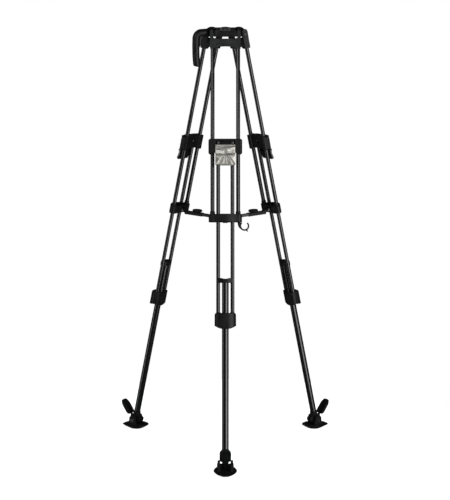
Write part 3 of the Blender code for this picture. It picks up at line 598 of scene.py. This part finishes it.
caps = [facing(0.0, cap_foot, 0.0, "+Y"), facing(0.0, -cap_foot, 0.0, "-Y")]
each_spot("trunnion_cap", pin_cap, caps, "leg_{}", STEEL, "casting_black")
washer = crisp(revolved([(0.0071, 0.0), (0.0082, 0.0), (0.0086, 0.0003), (0.0086, 0.0007), (0.0082, 0.0010),
                         (0.0071, 0.0010)], 48))
for side, at in STATION.items():
    for letter, sign in (("a", -1.0), ("b", 1.0)):
        seat = at @ facing(HINGE_RADIUS, sign * LUG_SIDE, HINGE_HEIGHT, "+Y" if sign > 0.0 else "-Y")
        place(f"friction_washer_{letter}_{side}", washer, seat, "root", BRIGHT, "lever_nickel")

# ---------------------------------------------------------------- crown

ring = revolved([(0.0300, 1.4635), (0.0425, 1.4635), (0.0490, 1.4800), (0.0545, 1.4885), (0.0572, 1.4895),
                 (0.0572, 1.4906), (0.0567, 1.4908), (0.0567, 1.4914), (0.0572, 1.4916), (0.0572, 1.4930),
                 (0.0558, RIM), (0.0300, RIM)], 120)
lug = prism(mirrored([(0.0, 1.4622), (0.0345, 1.4622), (0.0372, 1.4652), (0.0372, 1.4835), (0.0300, 1.4895),
                      (0.0200, 1.4935), (0.0100, 1.4960), (0.0, 1.4970)]), "X", 0.0360, 0.0595)
pocket = prism(rounded_rectangle((-0.0310, 1.4655), (0.0310, 1.4800), 0.0030), "X", 0.0582, 0.07)
hinge_boss = prism(circle((HINGE_RADIUS, HINGE_HEIGHT), 0.0068, 32), "Y", -0.0411, 0.0411)
hole = circle((HINGE_RADIUS, HINGE_HEIGHT), 0.0043, 24)
socket = prism(rounded_rectangle((-0.0060, 1.4655), (0.0060, 1.4880), 0.002, 4), "X", 0.0440, 0.0600)
crown_parts, crown_cuts = [], []
for azimuth in AZIMUTHS.values():
    about = turn(azimuth, "Z")
    crown_parts += [("UNION", moved(lug, about)), ("DIFFERENCE", moved(pocket, about))]
    crown_parts.append(("UNION", moved(hinge_boss, about)))
    for span in ((0.0325, 0.0450), (-0.0450, -0.0325)):
        crown_cuts.append(("DIFFERENCE", moved(prism(hole, "Y", *span), about)))
crown_parts.append(("UNION", moved(socket, turn(HANDLE_AZIMUTH, "Z"))))
bowl_seat = []
for angle in map(math.radians, range(30, 91, 4)):
    bowl_seat.append((BOWL_RADIUS * math.sin(angle), RIM - BOWL_RADIUS * math.cos(angle)))
bowl_top, bowl_centre = 1.5050, 0.0005
bowl = [(bowl_centre, bowl_seat[0][1])] + bowl_seat + [(BOWL_RADIUS, bowl_top), (bowl_centre, bowl_top)]
bowl = revolved(bowl, 120)
crown_cuts.append(("DIFFERENCE", bowl))
crown = softened(combined(ring, crown_parts + crown_cuts), 0.0008, 3, 0.25)
place("crown_casting", crown, CROWN, "root", CASTING, "casting_black", "crown_bowl")
plate_screw = cap_screw(0.0036, 0.0012, 0.0019)
for i, y in enumerate((-0.0068, 0.0068)):
    seat = STATION["front"] @ facing(0.0621, y, 1.4880, "+X")
    place(f"plate_screw_{i + 1}", plate_screw, seat, "root", STEEL, "casting_black")
# A raised rib on the front lug; its pale grey is a painted highlight along its sloped face
rib = prism(rounded_rectangle((-0.0345, 1.4806), (-0.0180, 1.4830), 0.0009), "X", 0.0585, 0.0612)
place("lug_rib", softened(rib, 0.0004, 2, 0.4), STATION["front"], "root", GREY_PLATE_AND_HIGHLIGHT, "plate_grey")

# ---------------------------------------------------------------- carry handle

grip, bend, bar_height = 0.0125, 0.0210, 1.4765
reach, bottom = 0.1170, 1.3605
path = [(0.0603, bar_height + 0.0018), (0.0680, bar_height + 0.0018), (0.0740, bar_height + 0.0015)]
path.append((0.0800, bar_height + 0.0010))
path += arc((reach - bend, bar_height - bend), bend, 90.0, 0.0, 14)
path += [(reach + 0.0008, 1.4300), (reach, 1.3950), (reach - 0.0022, bottom + 0.0060)]
path.append((reach - 0.0024, bottom))
necks = [0.0060, 0.0060, 0.0085, grip]
sections = []
for i, (x, z) in enumerate(path):
    before, after = path[max(i - 1, 0)], path[min(i + 1, len(path) - 1)]
    side = Vector((before[1] - after[1], after[0] - before[0])).normalized()
    end = i == len(path) - 1
    depth = grip - (0.0020 if end else 0.0)
    width = necks[i] if i < len(necks) else depth
    slant = 0.28 if i >= len(path) - 2 else 0.0
    sections.append([(x + side.x * u * depth, v * width, z + side.y * u * depth + slant * side.x * u * depth)
                     for u, v in circle((0.0, 0.0), 1.0, 40)])       # u in the handle's plane, v across it
inner, under = reach - grip + 0.002, bar_height - grip + 0.002
gusset = [(inner, under), (inner - 0.0160, under), (inner - 0.0110, under - 0.0100)]
gusset += [(inner - 0.0082, under - 0.0220), (inner - 0.0050, under - 0.0340), (inner, under - 0.0440)]
handle = combined(stack(sections), [("UNION", prism(gusset, "Y", -0.0045, 0.0045))])
finger_lines = []
line_floor, line_width, line_pitch = grip - 0.0007, 0.0009, 0.0035
for i in range(5):
    level = bottom + 0.0120 + line_pitch * i
    line = revolved([(line_floor, level), (grip + 0.003, level), (grip + 0.003, level + line_width),
                     (line_floor, level + line_width)], 40)
    finger_lines.append(("DIFFERENCE", moved(line, shift(reach - 0.0017, 0.0, 0.0))))
handle = softened(combined(handle, finger_lines), 0.0008, 3, 0.25)
place("handle_grip", handle, CROWN @ turn(HANDLE_AZIMUTH, "Z"), "root", GRIP, "grip_black", "carry_handle")

# ---------------------------------------------------------------- upper clamp and silver lever

recess = prism(rounded_rectangle((-0.0335, -0.3905), (0.0335, -0.3732), 0.0040), "X", 0.0125, 0.03)
clamp_cuts = [("DIFFERENCE", recess)]
band_floor, band_half = 0.0128, 0.0006
for sign in (-1.0, 1.0):
    for level in (-0.3716, -0.4106):
        low, high = level - band_half, level + band_half
        band = revolved([(band_floor, low), (0.0200, low), (0.0200, high), (band_floor, high)], 48)
        clamp_cuts.append(("DIFFERENCE", moved(band, shift(0.0028, sign * 0.0462, 0.0))))
clamp = softened(combined(from_cad("upper_clamp_front"), clamp_cuts), 0.0008, 4, 0.22)
each_leg("clamp_casting", clamp, "mid_stage_{}", CASTING, "casting_black", "upper_clamp_{}")
lip_path = arc((0.0, -0.2900), 0.0935, 250.5, 289.5, 24)
lip = wire(lip_path, [0.0010] * len(lip_path), [0.0014] * len(lip_path), 12)
each_spot("clamp_lip", crisp(lip), [shift(0.0150, 0.0, 0.0)], "mid_stage_{}", STEEL, "casting_black")
boss = disc_shape([(0.0088, 0.0), (0.0088, 0.0014), (0.0080, 0.0022), (0.0062, 0.0022), (0.0058, 0.0006),
                   (0.0010, 0.0006)])
boss_seat = facing(CLAMP_BACK, 0.0, CLAMP_PIN_LEVEL, "-X")
each_spot("clamp_boss", boss, [boss_seat], "mid_stage_{}", STEEL, "casting_black")
pin = disc_shape([(0.0026, 0.0), (0.0026, 0.0022), (0.0018, 0.0031), (0.0004, 0.0033)])
each_spot("clamp_pin", pin, [boss_seat], "mid_stage_{}", BRIGHT, "lever_nickel")

# The lever's face on its centre line: (drop below the hinge, height in front of it)
LEVER_PROFILE = ((0.0, 0.0042), (0.0050, 0.0060), (0.0270, 0.0068), (0.0340, 0.0094), (0.0400, 0.0104),
                 (1.0, 0.0104))
LEVER_BARREL = 0.0044
LEVER_CORNER = 0.0052
LEVER_SAG = 0.0040
RIM_DIP = 0.0042
FACET_DEPTH = 0.0026
FAN_LEVEL = 0.0340
FAN_HALF = 0.0130
FAN_SPREAD = 0.0190
FAN_HEIGHT = 0.0300
RIB_HEIGHT = 0.0011
FLUTE_DEPTH = 0.0008
POCKET_DEPTH = 0.0020
POCKET_SLOPE = 0.0034


def profile_at(drop):
    """Height of the lever's face on its centre line."""
    for (low, first), (high, last) in zip(LEVER_PROFILE, LEVER_PROFILE[1:]):
        if drop <= high:
            return first + (last - first) * max(0.0, (drop - low) / (high - low))
    return LEVER_PROFILE[-1][1]


def lever_upper(u, drop):
    """Relief of the upper half: a raised brow under the dipped rim, two facets and a waist."""
    below_rim = drop - RIM_DIP * (1.0 - (u / LEVER_HALF) ** 2)
    sheet = profile_at(below_rim if drop < 0.0150 else max(below_rim, drop - 0.0020))
    brow = 0.0006 * bell(below_rim - 0.0062, 0.0020)
    slant = 0.0110 + 0.0060 * (1.0 - u / LEVER_HALF)
    facet = -FACET_DEPTH * ease(drop, slant, slant + 0.0030) * (1.0 - ease(drop, 0.0260, 0.0330))
    facet *= ease(u, 0.0, 0.0240)
    waist = 0.0010 * bell(drop - 0.0335 - 0.06 * (LEVER_HALF - u), 0.0024) * ease(u, 0.0120, 0.0260)
    return sheet + brow + facet + waist


def lever_lower(across, drop):
    """Relief of the lower half: a fluted fan between two ribs, with a pocket on either side."""
    edge = FAN_HALF + FAN_SPREAD * ramped(drop, FAN_LEVEL, FAN_LEVEL + FAN_HEIGHT)
    inside = edge - abs(across)
    ribs = RIB_HEIGHT * bell(inside - 0.0012, 0.0017) * ease(drop, 0.0330, 0.0400)
    wave = 0.5 - 0.5 * math.cos(math.radians(540.0) * across / edge)
    flutes = -FLUTE_DEPTH * wave * ease(drop, 0.0360, 0.0460) * ease(inside, 0.0005, 0.0035)
    pocket = -(POCKET_DEPTH + POCKET_SLOPE * ramped(drop, 0.0370, 0.0630)) * ease(-inside, 0.0004, 0.0020)
    pocket *= ease(drop, 0.0350, 0.0378) * (1.0 - ease(drop, 0.0610, 0.0660))
    foot = -0.0052 * ease(drop, 0.0645, LEVER_LENGTH) ** 2
    return ribs + flutes + pocket + foot


def lever_face(across, drop):
    """Height of the lever's face in front of its hinge."""
    sag = LEVER_SAG * (across / LEVER_HALF) ** 2
    return lever_upper(abs(across), drop) + lever_lower(across, drop) - sag


def lever_shape():
    """The silver lever, its hinge axis on Y through the origin."""
    rows, columns = 104, 64
    start, wall = 0.0041, 0.0016
    sections = []
    for r in range(rows + 1):
        z = start - (start + LEVER_LENGTH) * r / rows
        drop = -z
        half = LEVER_HALF - 0.0010 * bell(drop - 0.0345, 0.0022) - 0.0012 * (1.0 - ease(drop, -0.0040, 0.0))
        corner = max(0.0, drop - (LEVER_LENGTH - LEVER_CORNER))
        if corner > 0.0:
            half -= LEVER_CORNER - math.sqrt(max(0.0, LEVER_CORNER ** 2 - corner ** 2))
        round_off = math.sqrt(LEVER_BARREL ** 2 - z ** 2) if z > 0.0 else LEVER_BARREL
        back = -round_off + 0.0050 * ease(drop, 0.0380, 0.0680)
        stations = [half * (2.0 * c / columns - 1.0) for c in range(columns + 1)]
        section = []
        for across in stations:
            eased_edge = 0.0012 * bell(half - abs(across), 0.0009)
            front = round_off if z > 0.0 else lever_face(across, drop) - eased_edge
            section.append((max(back + wall, front), across, z))
        section += [(back, across * 0.995, z) for across in reversed(stations)]
        sections.append(section)
    return crisp(stack(list(reversed(sections))), 50.0)


lever = moved(lever_shape(), shift(LEVER_HINGE[0], 0.0, LEVER_HINGE[1]))
each_leg("lever_plate", lever, "clamp_lever_{}", NICKEL, "lever_nickel", "clamp_lever_{}")

# ---------------------------------------------------------------- bracket

half = [(BRACKET_BACK, 0.0), (BRACKET_BACK, 0.0390)] + arc((0.0, 0.0458), 0.0114, 165.0, 15.0, 24)
bow_end, bow_rise, bow_half = 0.0110, 0.0195, 0.0475
for y in [0.0462 - 0.0021 * i for i in range(22)] + [0.0]:
    half.append((bow_end + bow_rise * (1.0 - (y / bow_half) ** 2), y))
outline = closed_half(half)
window = [(-0.0040, 0.0300), (-0.0015, 0.0335), (0.0170, 0.0330), (0.0205, 0.0290), (0.0262, 0.0150)]
bracket_shape = prism(outline, "Z", BRACKET_BOTTOM, BRACKET_TOP)
bracket_cuts = [("DIFFERENCE", prism(closed_half(window + [(0.0275, 0.0)]), "Z", -0.70, -0.60))]
ear = [(BRACKET_BACK + 0.0015, -0.6490), (BRACKET_BACK + 0.0015, -0.6290)]
ear += arc(ARM_PIVOT, 0.0055, 100.0, 260.0, 16)
socket_rim, socket_bore, socket_floor, socket_top = 0.0087, 0.0072, -0.6468, -0.6138
for sign in (-1.0, 1.0):
    tube_at = (0.0, sign * OUTER_TUBE[1])
    bracket_cuts.append(("UNION", prism(circle(tube_at, socket_rim, 48), "Z", -0.6400, socket_top)))
    bracket_cuts.append(("DIFFERENCE", prism(circle(tube_at, socket_bore, 48), "Z", socket_floor, -0.60)))
    bracket_cuts.append(("UNION", prism(ear, "Y", *on_side(sign, 0.0094, 0.0142))))
each_leg("bracket_casting", softened(combined(bracket_shape, bracket_cuts), 0.0008, 4, 0.25),
         "leg_{}", CASTING, "casting_black", "spreader_bracket_{}")
pivot_screw = cap_screw(0.0042, 0.0018, 0.0019)
pivot_x, pivot_z = ARM_PIVOT
pivots = [facing(pivot_x, 0.0141, pivot_z, "+Y"), facing(pivot_x, -0.0141, pivot_z, "-Y")]
each_spot("pivot_screw", pivot_screw, pivots, "leg_{}", BRIGHT, "lever_nickel")
pivot_pin = disc_shape([(0.0025, -0.0100), (0.0025, 0.0100)])
each_spot("pivot_pin", pivot_pin, [facing(pivot_x, 0.0, pivot_z, "+Y")], "leg_{}", STEEL, "casting_black")

# ---------------------------------------------------------------- cable hook

hook_wire = 0.0027
ring_path = arc((0.0655, -0.6640), 0.0140, 50.0, -232.0, 40)
ring_width = [0.0016, 0.0021] + [hook_wire] * (len(ring_path) - 4) + [0.0024, 0.0018]
ring = wire(ring_path, ring_width, ring_width)
shank_path = [(0.0470, -0.6515), (0.0472, -0.6560), (0.0478, -0.6610), (0.0500, -0.6665)]
shank_path += [(0.0525, -0.6702), (0.0550, -0.6730)]
shank_width = [0.0052, 0.0052, 0.0049, 0.0044, 0.0038, 0.0030]
shank = wire(shank_path, shank_width, [hook_wire] * len(shank_path))
spur_width = [hook_wire, 0.0025, 0.0014]
spur = wire([(0.0700, -0.6762), (0.0740, -0.6800), (0.0778, -0.6828)], spur_width, spur_width)
hook = softened(combined(ring, [("UNION", shank), ("UNION", spur)]), 0.0005, 4, 0.35)
place("hook_wire", hook, LEG["front"], "leg_front", CASTING, "casting_black", "cable_hook")

# ---------------------------------------------------------------- lower collar, its lever, and the guide

collar = softened(from_cad("lower_collar_front"), 0.0008, 4, 0.22)
each_leg("collar_casting", collar, "mid_stage_{}", CASTING, "casting_black", "lower_collar_{}")

# The wrap is half a squared oval in plan
wrap_centre, wrap_reach, roundness = 0.0090, 0.0294, 2.0 / 2.7
wrap = [(0.0050, COLLAR_LEVER_HALF)]
for x, y in arc((0.0, 0.0), 1.0, 90.0, 0.0, 40):
    wrap.append((wrap_centre + wrap_reach * x ** roundness, COLLAR_LEVER_HALF * y ** roundness))
wrap = closed_half(wrap)
origin_x, origin_z = COLLAR_LEVER_HINGE
tip = -COLLAR_LEVER_LENGTH
skirt = prism(mirrored([
    (0.0, tip), (0.0100, tip + 0.0004), (0.0180, tip + 0.0018), (0.0270, tip + 0.0052),
    (COLLAR_LEVER_HALF, tip + 0.0110), (COLLAR_LEVER_HALF, -0.0010), (COLLAR_LEVER_HALF - 0.0030, 0.0020),
    (0.0, 0.0020)]), "X", -0.040, 0.020)
lining = rounded_rectangle((-0.0600, -0.0336), (0.0308 - origin_x, 0.0336), 0.0085, 8)
open_back = [(-0.060, -0.060), (-0.0260, -0.060), (-0.0180, 0.0100), (-0.060, 0.0100)]
wrapped = combined(skirt, [
    ("INTERSECT", prism([(x - origin_x, y) for x, y in wrap], "Z", -0.10, 0.05)),
    ("DIFFERENCE", prism(lining, "Z", -0.11, 0.06)),
    ("DIFFERENCE", prism(open_back, "Y", -0.05, 0.05)),
])
wrapped = moved(softened(wrapped, 0.0007, 4, 0.22), shift(origin_x, 0.0, origin_z))
each_leg("collar_wrap", wrapped, "collar_lever_{}", MOULDING, "moulding_black", "collar_lever_{}")
guide = softened(from_cad("tube_guide_front"), 0.0006, 4, 0.25)
each_leg("guide_moulding", guide, "low_stage_{}", MOULDING, "moulding_black", "tube_guide_{}")

# ---------------------------------------------------------------- ankle, shoe and pedal

ankle = softened(from_cad("ankle_front"), 0.0006, 5, 0.25)
each_leg("ankle_casting", ankle, "low_stage_{}", RUBBER, "rubber_black", "ankle_{}")
pedal_frame = shift(PEDAL_HINGE[0], 0.0, PEDAL_HINGE[1]) @ turn(PEDAL_LEAN, "Y")
grooves = []
for i in range(5):
    level = 0.0300 + 0.0052 * i
    groove = rounded_rectangle((-0.0130, level), (0.0130, level + 0.0020), 0.0009, 3)
    grooves.append(("DIFFERENCE", prism(groove, "X", 0.0040, 0.01)))
pedal_blank = from_cad("foot_pedal_front", (LEG["front"] @ pedal_frame).inverted())
pedal = softened(combined(pedal_blank, grooves), 0.0006, 5, 0.25)
each_leg("pedal_moulding", pedal, "pedal_{}", RUBBER, "rubber_black", "foot_pedal_{}", seat=pedal_frame)

shoe_frame = shift(ANKLE[0], 0.0, ANKLE[1]) @ turn(LEG_SPREAD, "Y")
floor_level = -(HINGE_HEIGHT + ANKLE[1] * math.cos(math.radians(LEG_SPREAD))
                + ANKLE[0] * math.sin(math.radians(LEG_SPREAD)))
toe_end, side_edge = SHOE_LENGTH / 2.0, SHOE_WIDTH / 2.0
plan = [(toe_end, 0.0), (toe_end - 0.0008, 0.0110), (0.0450, 0.0218), (0.0300, 0.0315), (0.0140, 0.0378)]
plan += [(0.0, side_edge), (-0.0140, 0.0380), (-0.0320, 0.0305), (-0.0450, 0.0195)]
plan += [(-toe_end + 0.0006, 0.0085), (-toe_end, 0.0)]
plan = smooth_loop(closed_half(plan))
sections = []
# Shares of the plan's length and width, and heights of the toe and heel there, from the sole up
for length, width, toe, heel in (
        (0.44, 0.47, 0.0000, 0.0000), (0.46, 0.50, 0.0005, 0.0005), (0.62, 0.64, 0.0038, 0.0042),
        (0.80, 0.80, 0.0076, 0.0090), (0.94, 0.93, 0.0106, 0.0134), (0.985, 0.985, 0.0118, 0.0150),
        (1.00, 1.00, 0.0124, 0.0160), (1.00, 1.00, 0.0130, 0.0172), (0.985, 0.985, 0.0138, 0.0186),
        (0.95, 0.94, 0.0146, 0.0195), (0.90, 0.89, 0.0150, 0.0198), (0.88, 0.87, 0.0142, 0.0186),
        (0.62, 0.66, 0.0150, 0.0180)):
    sections.append([(x * length, y * width, floor_level + heel + (toe - heel) * (0.5 + x / SHOE_LENGTH))
                     for x, y in plan])
shoe_parts = []
cheek = [(-0.0170, floor_level + 0.0120), (0.0170, floor_level + 0.0120), (0.0125, 0.0060)]
cheek += arc((0.0, 0.0), 0.0172, 45.0, 135.0, 16) + [(-0.0125, 0.0060)]
spacer = circle((0.0, 0.0), 0.0062, 40)
for sign in (-1.0, 1.0):
    shoe_parts.append(("UNION", prism(cheek, "Y", *on_side(sign, 0.0176, 0.0264))))
    shoe_parts.append(("UNION", prism(spacer, "Y", *on_side(sign, 0.0078, 0.0180))))
shoe = softened(combined(stack(sections), shoe_parts), 0.0007, 4, 0.22)
each_leg("shoe_rubber", shoe, "shoe_{}", RUBBER, "rubber_black", "foot_shoe_{}", seat=shoe_frame)
ankle_screw = cap_screw(0.0070, 0.0022, 0.0030)
seats = [shoe_frame @ facing(0.0, 0.0262, 0.0, "+Y"), shoe_frame @ facing(0.0, -0.0262, 0.0, "-Y")]
each_spot("ankle_screw", ankle_screw, seats, "shoe_{}", STEEL, "casting_black")
ankle_pin = disc_shape([(0.0038, -0.0200), (0.0038, 0.0200)])
pin_seat = shoe_frame @ facing(0.0, 0.0, 0.0, "+Y")
each_spot("ankle_pin", ankle_pin, [pin_seat], "shoe_{}", STEEL, "casting_black")

# ---------------------------------------------------------------- spreader

sleeve_cuts = []
side_slot = rounded_rectangle((0.0200, ARM_LINE - 0.0028), (0.0740, ARM_LINE + 0.0028), 0.0022)
for sign in (-1.0, 1.0):
    sleeve_cuts.append(("DIFFERENCE", moved(prism(side_slot, "Y", *on_side(sign, 0.0083, 0.02)), ARM)))
sleeve = softened(combined(from_cad("arm_sleeve_front"), sleeve_cuts), 0.0006, 3, 0.22)
each_leg("arm_channel", sleeve, "arm_{}", CASTING, "casting_black", "arm_sleeve_{}")
strip = softened(from_cad("arm_bar_front"), 0.0005, 2, 0.2)
each_leg("arm_strip", strip, "bar_{}", STEEL, "casting_black", "arm_bar_{}")


# Share of the knob's radius, height, and how deep the flutes are there, from the underside up
KNOB_LEVELS = (
    (0.30, 0.0, 0.0), (0.62, 0.0003, 0.0), (0.90, 0.0016, 0.4), (0.98, 0.0030, 1.0), (1.0, 0.0048, 1.0),
    (0.99, 0.0068, 1.0), (0.95, 0.0082, 0.7), (0.86, 0.0091, 0.2), (0.70, 0.0095, 0.0), (0.66, 0.0090, 0.0),
    (0.40, 0.0088, 0.0), (0.36, 0.0096, 0.0), (0.20, KNOB_HEIGHT, 0.0))


def knob_shape():
    """A fluted knob that stands on z = 0."""
    lobes, count, flute_depth = 18, 108, 0.0007
    sections = []
    for share, z, flute in KNOB_LEVELS:
        section = []
        for i in range(count):
            angle = 2.0 * math.pi * i / count
            radius = KNOB_RADIUS * share - flute_depth * flute * (1.0 - math.cos(lobes * angle))
            section.append((radius * math.cos(angle), radius * math.sin(angle), z))
        sections.append(section)
    return crisp(stack(sections), 40.0)


knob = moved(knob_shape(), ARM @ shift(KNOB_REACH, 0.0, ARM_LINE + SLEEVE_HEIGHT / 2.0 + 0.0003))
each_leg("knob_moulding", knob, "knob_{}", RUBBER, "rubber_black", "arm_knob_{}")

hub_centre = shift(0.0, AXIS_Y, HUB_HEIGHT)
hub = softened(from_cad("spreader_hub", hub_centre.inverted()), 0.0006, 4, 0.3)
place("hub_casting", hub, hub_centre, "hub", CASTING, "casting_black", "spreader_hub")
hub_screw = cap_screw(0.0062, 0.0020, 0.0027)
on_top = shift(0.0, 0.0, HUB_TOP - 0.0002)
place("hub_screw_top", hub_screw, hub_centre @ on_top, "hub", STEEL, "casting_black")
place("hub_screw_under", hub_screw, hub_centre @ turn(180.0, "X") @ on_top, "hub", STEEL, "casting_black")

# ---------------------------------------------------------------- looks of the CAD nodes left in view

for node_name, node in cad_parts.items():
    if node_name.startswith(("arm_knob", "foot_", "ankle")):
        look = RUBBER
    elif node_name.startswith("clamp_lever"):
        look = NICKEL
    elif "_tube_" in node_name or node_name.startswith("lower_tube"):
        look = TUBE
    elif node_name == "carry_handle":
        look = GRIP
    elif node_name == "hinge_screw_plate":
        look = GREY_PLATE_AND_HIGHLIGHT
    else:
        look = CASTING
    if not node.material_slots:
        node.data.materials.append(look)
    for material_slot in node.material_slots:
        material_slot.material = look


# ---------------------------------------------------------------- stage, light and camera

floor_paint = Nodes("pale_floor")
pale = [(0.3, (0.91, 0.91, 0.91)), (0.7, (0.93, 0.93, 0.93))]
floor_paint.base(floor_paint.ramp(floor_paint.noise(3.0), pale))
floor_paint.set(roughness=0.95, specular_ior_level=0.1)
floor = bpy.data.objects.new("floor", prism(circle((0.0, 0.0), FLOOR_RADIUS, 128), "Z", -0.0005, 0.0))
floor.visible_glossy = False
floor.data.materials.append(floor_paint.material)
bpy.context.scene.collection.objects.link(floor)


def soft_box(name, bearing, distance, height, width, tall, radiance):
    """A tall soft light; its bearing is in degrees to the right of the camera, seen from the object."""
    data = bpy.data.lights.new(name, "AREA")
    data.shape = "RECTANGLE"
    data.size, data.size_y = width, tall
    data.energy = radiance * math.pi * width * tall
    light = bpy.data.objects.new(name, data)
    angle = math.radians(bearing)
    light.location = (distance * math.sin(angle), AXIS_Y - distance * math.cos(angle), height)
    light.rotation_euler = (math.radians(90.0), 0.0, angle)
    light.visible_camera = False
    bpy.context.scene.collection.objects.link(light)


soft_box("key_low_right", bearing=40.0, distance=2.6, height=0.5, width=2.1, tall=3.0, radiance=2.6)
soft_box("key_high_left", bearing=-26.0, distance=2.6, height=2.95, width=1.5, tall=1.9, radiance=2.3)
soft_box("rim_left", bearing=-76.0, distance=2.4, height=0.8, width=0.5, tall=3.6, radiance=1.9)

# Light from above for the floor alone: most of it without shadows, so that those stay faint
under = bpy.data.collections.new("floor_only")
under.objects.link(floor)
for light_name, energy, casts in (("overhead", 3.1, False), ("overhead_shade", 0.35, True)):
    sky = bpy.data.lights.new(light_name, "SUN")
    sky.energy = energy
    sky.angle = math.radians(35.0)
    sky.use_shadow = casts
    overhead = bpy.data.objects.new(light_name, sky)
    overhead.location = (0.0, 0.0, 4.0)
    overhead.light_linking.receiver_collection = under
    bpy.context.scene.collection.objects.link(overhead)

# A white room behind the object, which gives it little light
world = bpy.data.worlds.new("studio")
bpy.context.scene.world = world
world.use_nodes = True
wires = world.node_tree
seen = wires.nodes.new("ShaderNodeLightPath")
glow = wires.nodes.new("ShaderNodeMapRange")
glow.inputs["To Min"].default_value = 0.045
glow.inputs["To Max"].default_value = 1.0
wires.links.new(seen.outputs["Is Camera Ray"], glow.inputs["Value"])
backdrop = wires.nodes["Background"]
backdrop.inputs["Color"].default_value = (1.0, 1.0, 1.0, 1.0)
wires.links.new(glow.outputs["Result"], backdrop.inputs["Strength"])
bpy.context.scene.view_settings.view_transform = "Standard"

lens = bpy.data.cameras.new("camera")
lens.lens = 103.68
lens.sensor_width = 36.0
camera = bpy.data.objects.new("camera", lens)
camera.location = (-0.0011, -4.9775, 1.4941)
camera.rotation_euler = (math.radians(81.214), 0.0, 0.0)
bpy.context.scene.collection.objects.link(camera)
bpy.context.scene.camera = camera
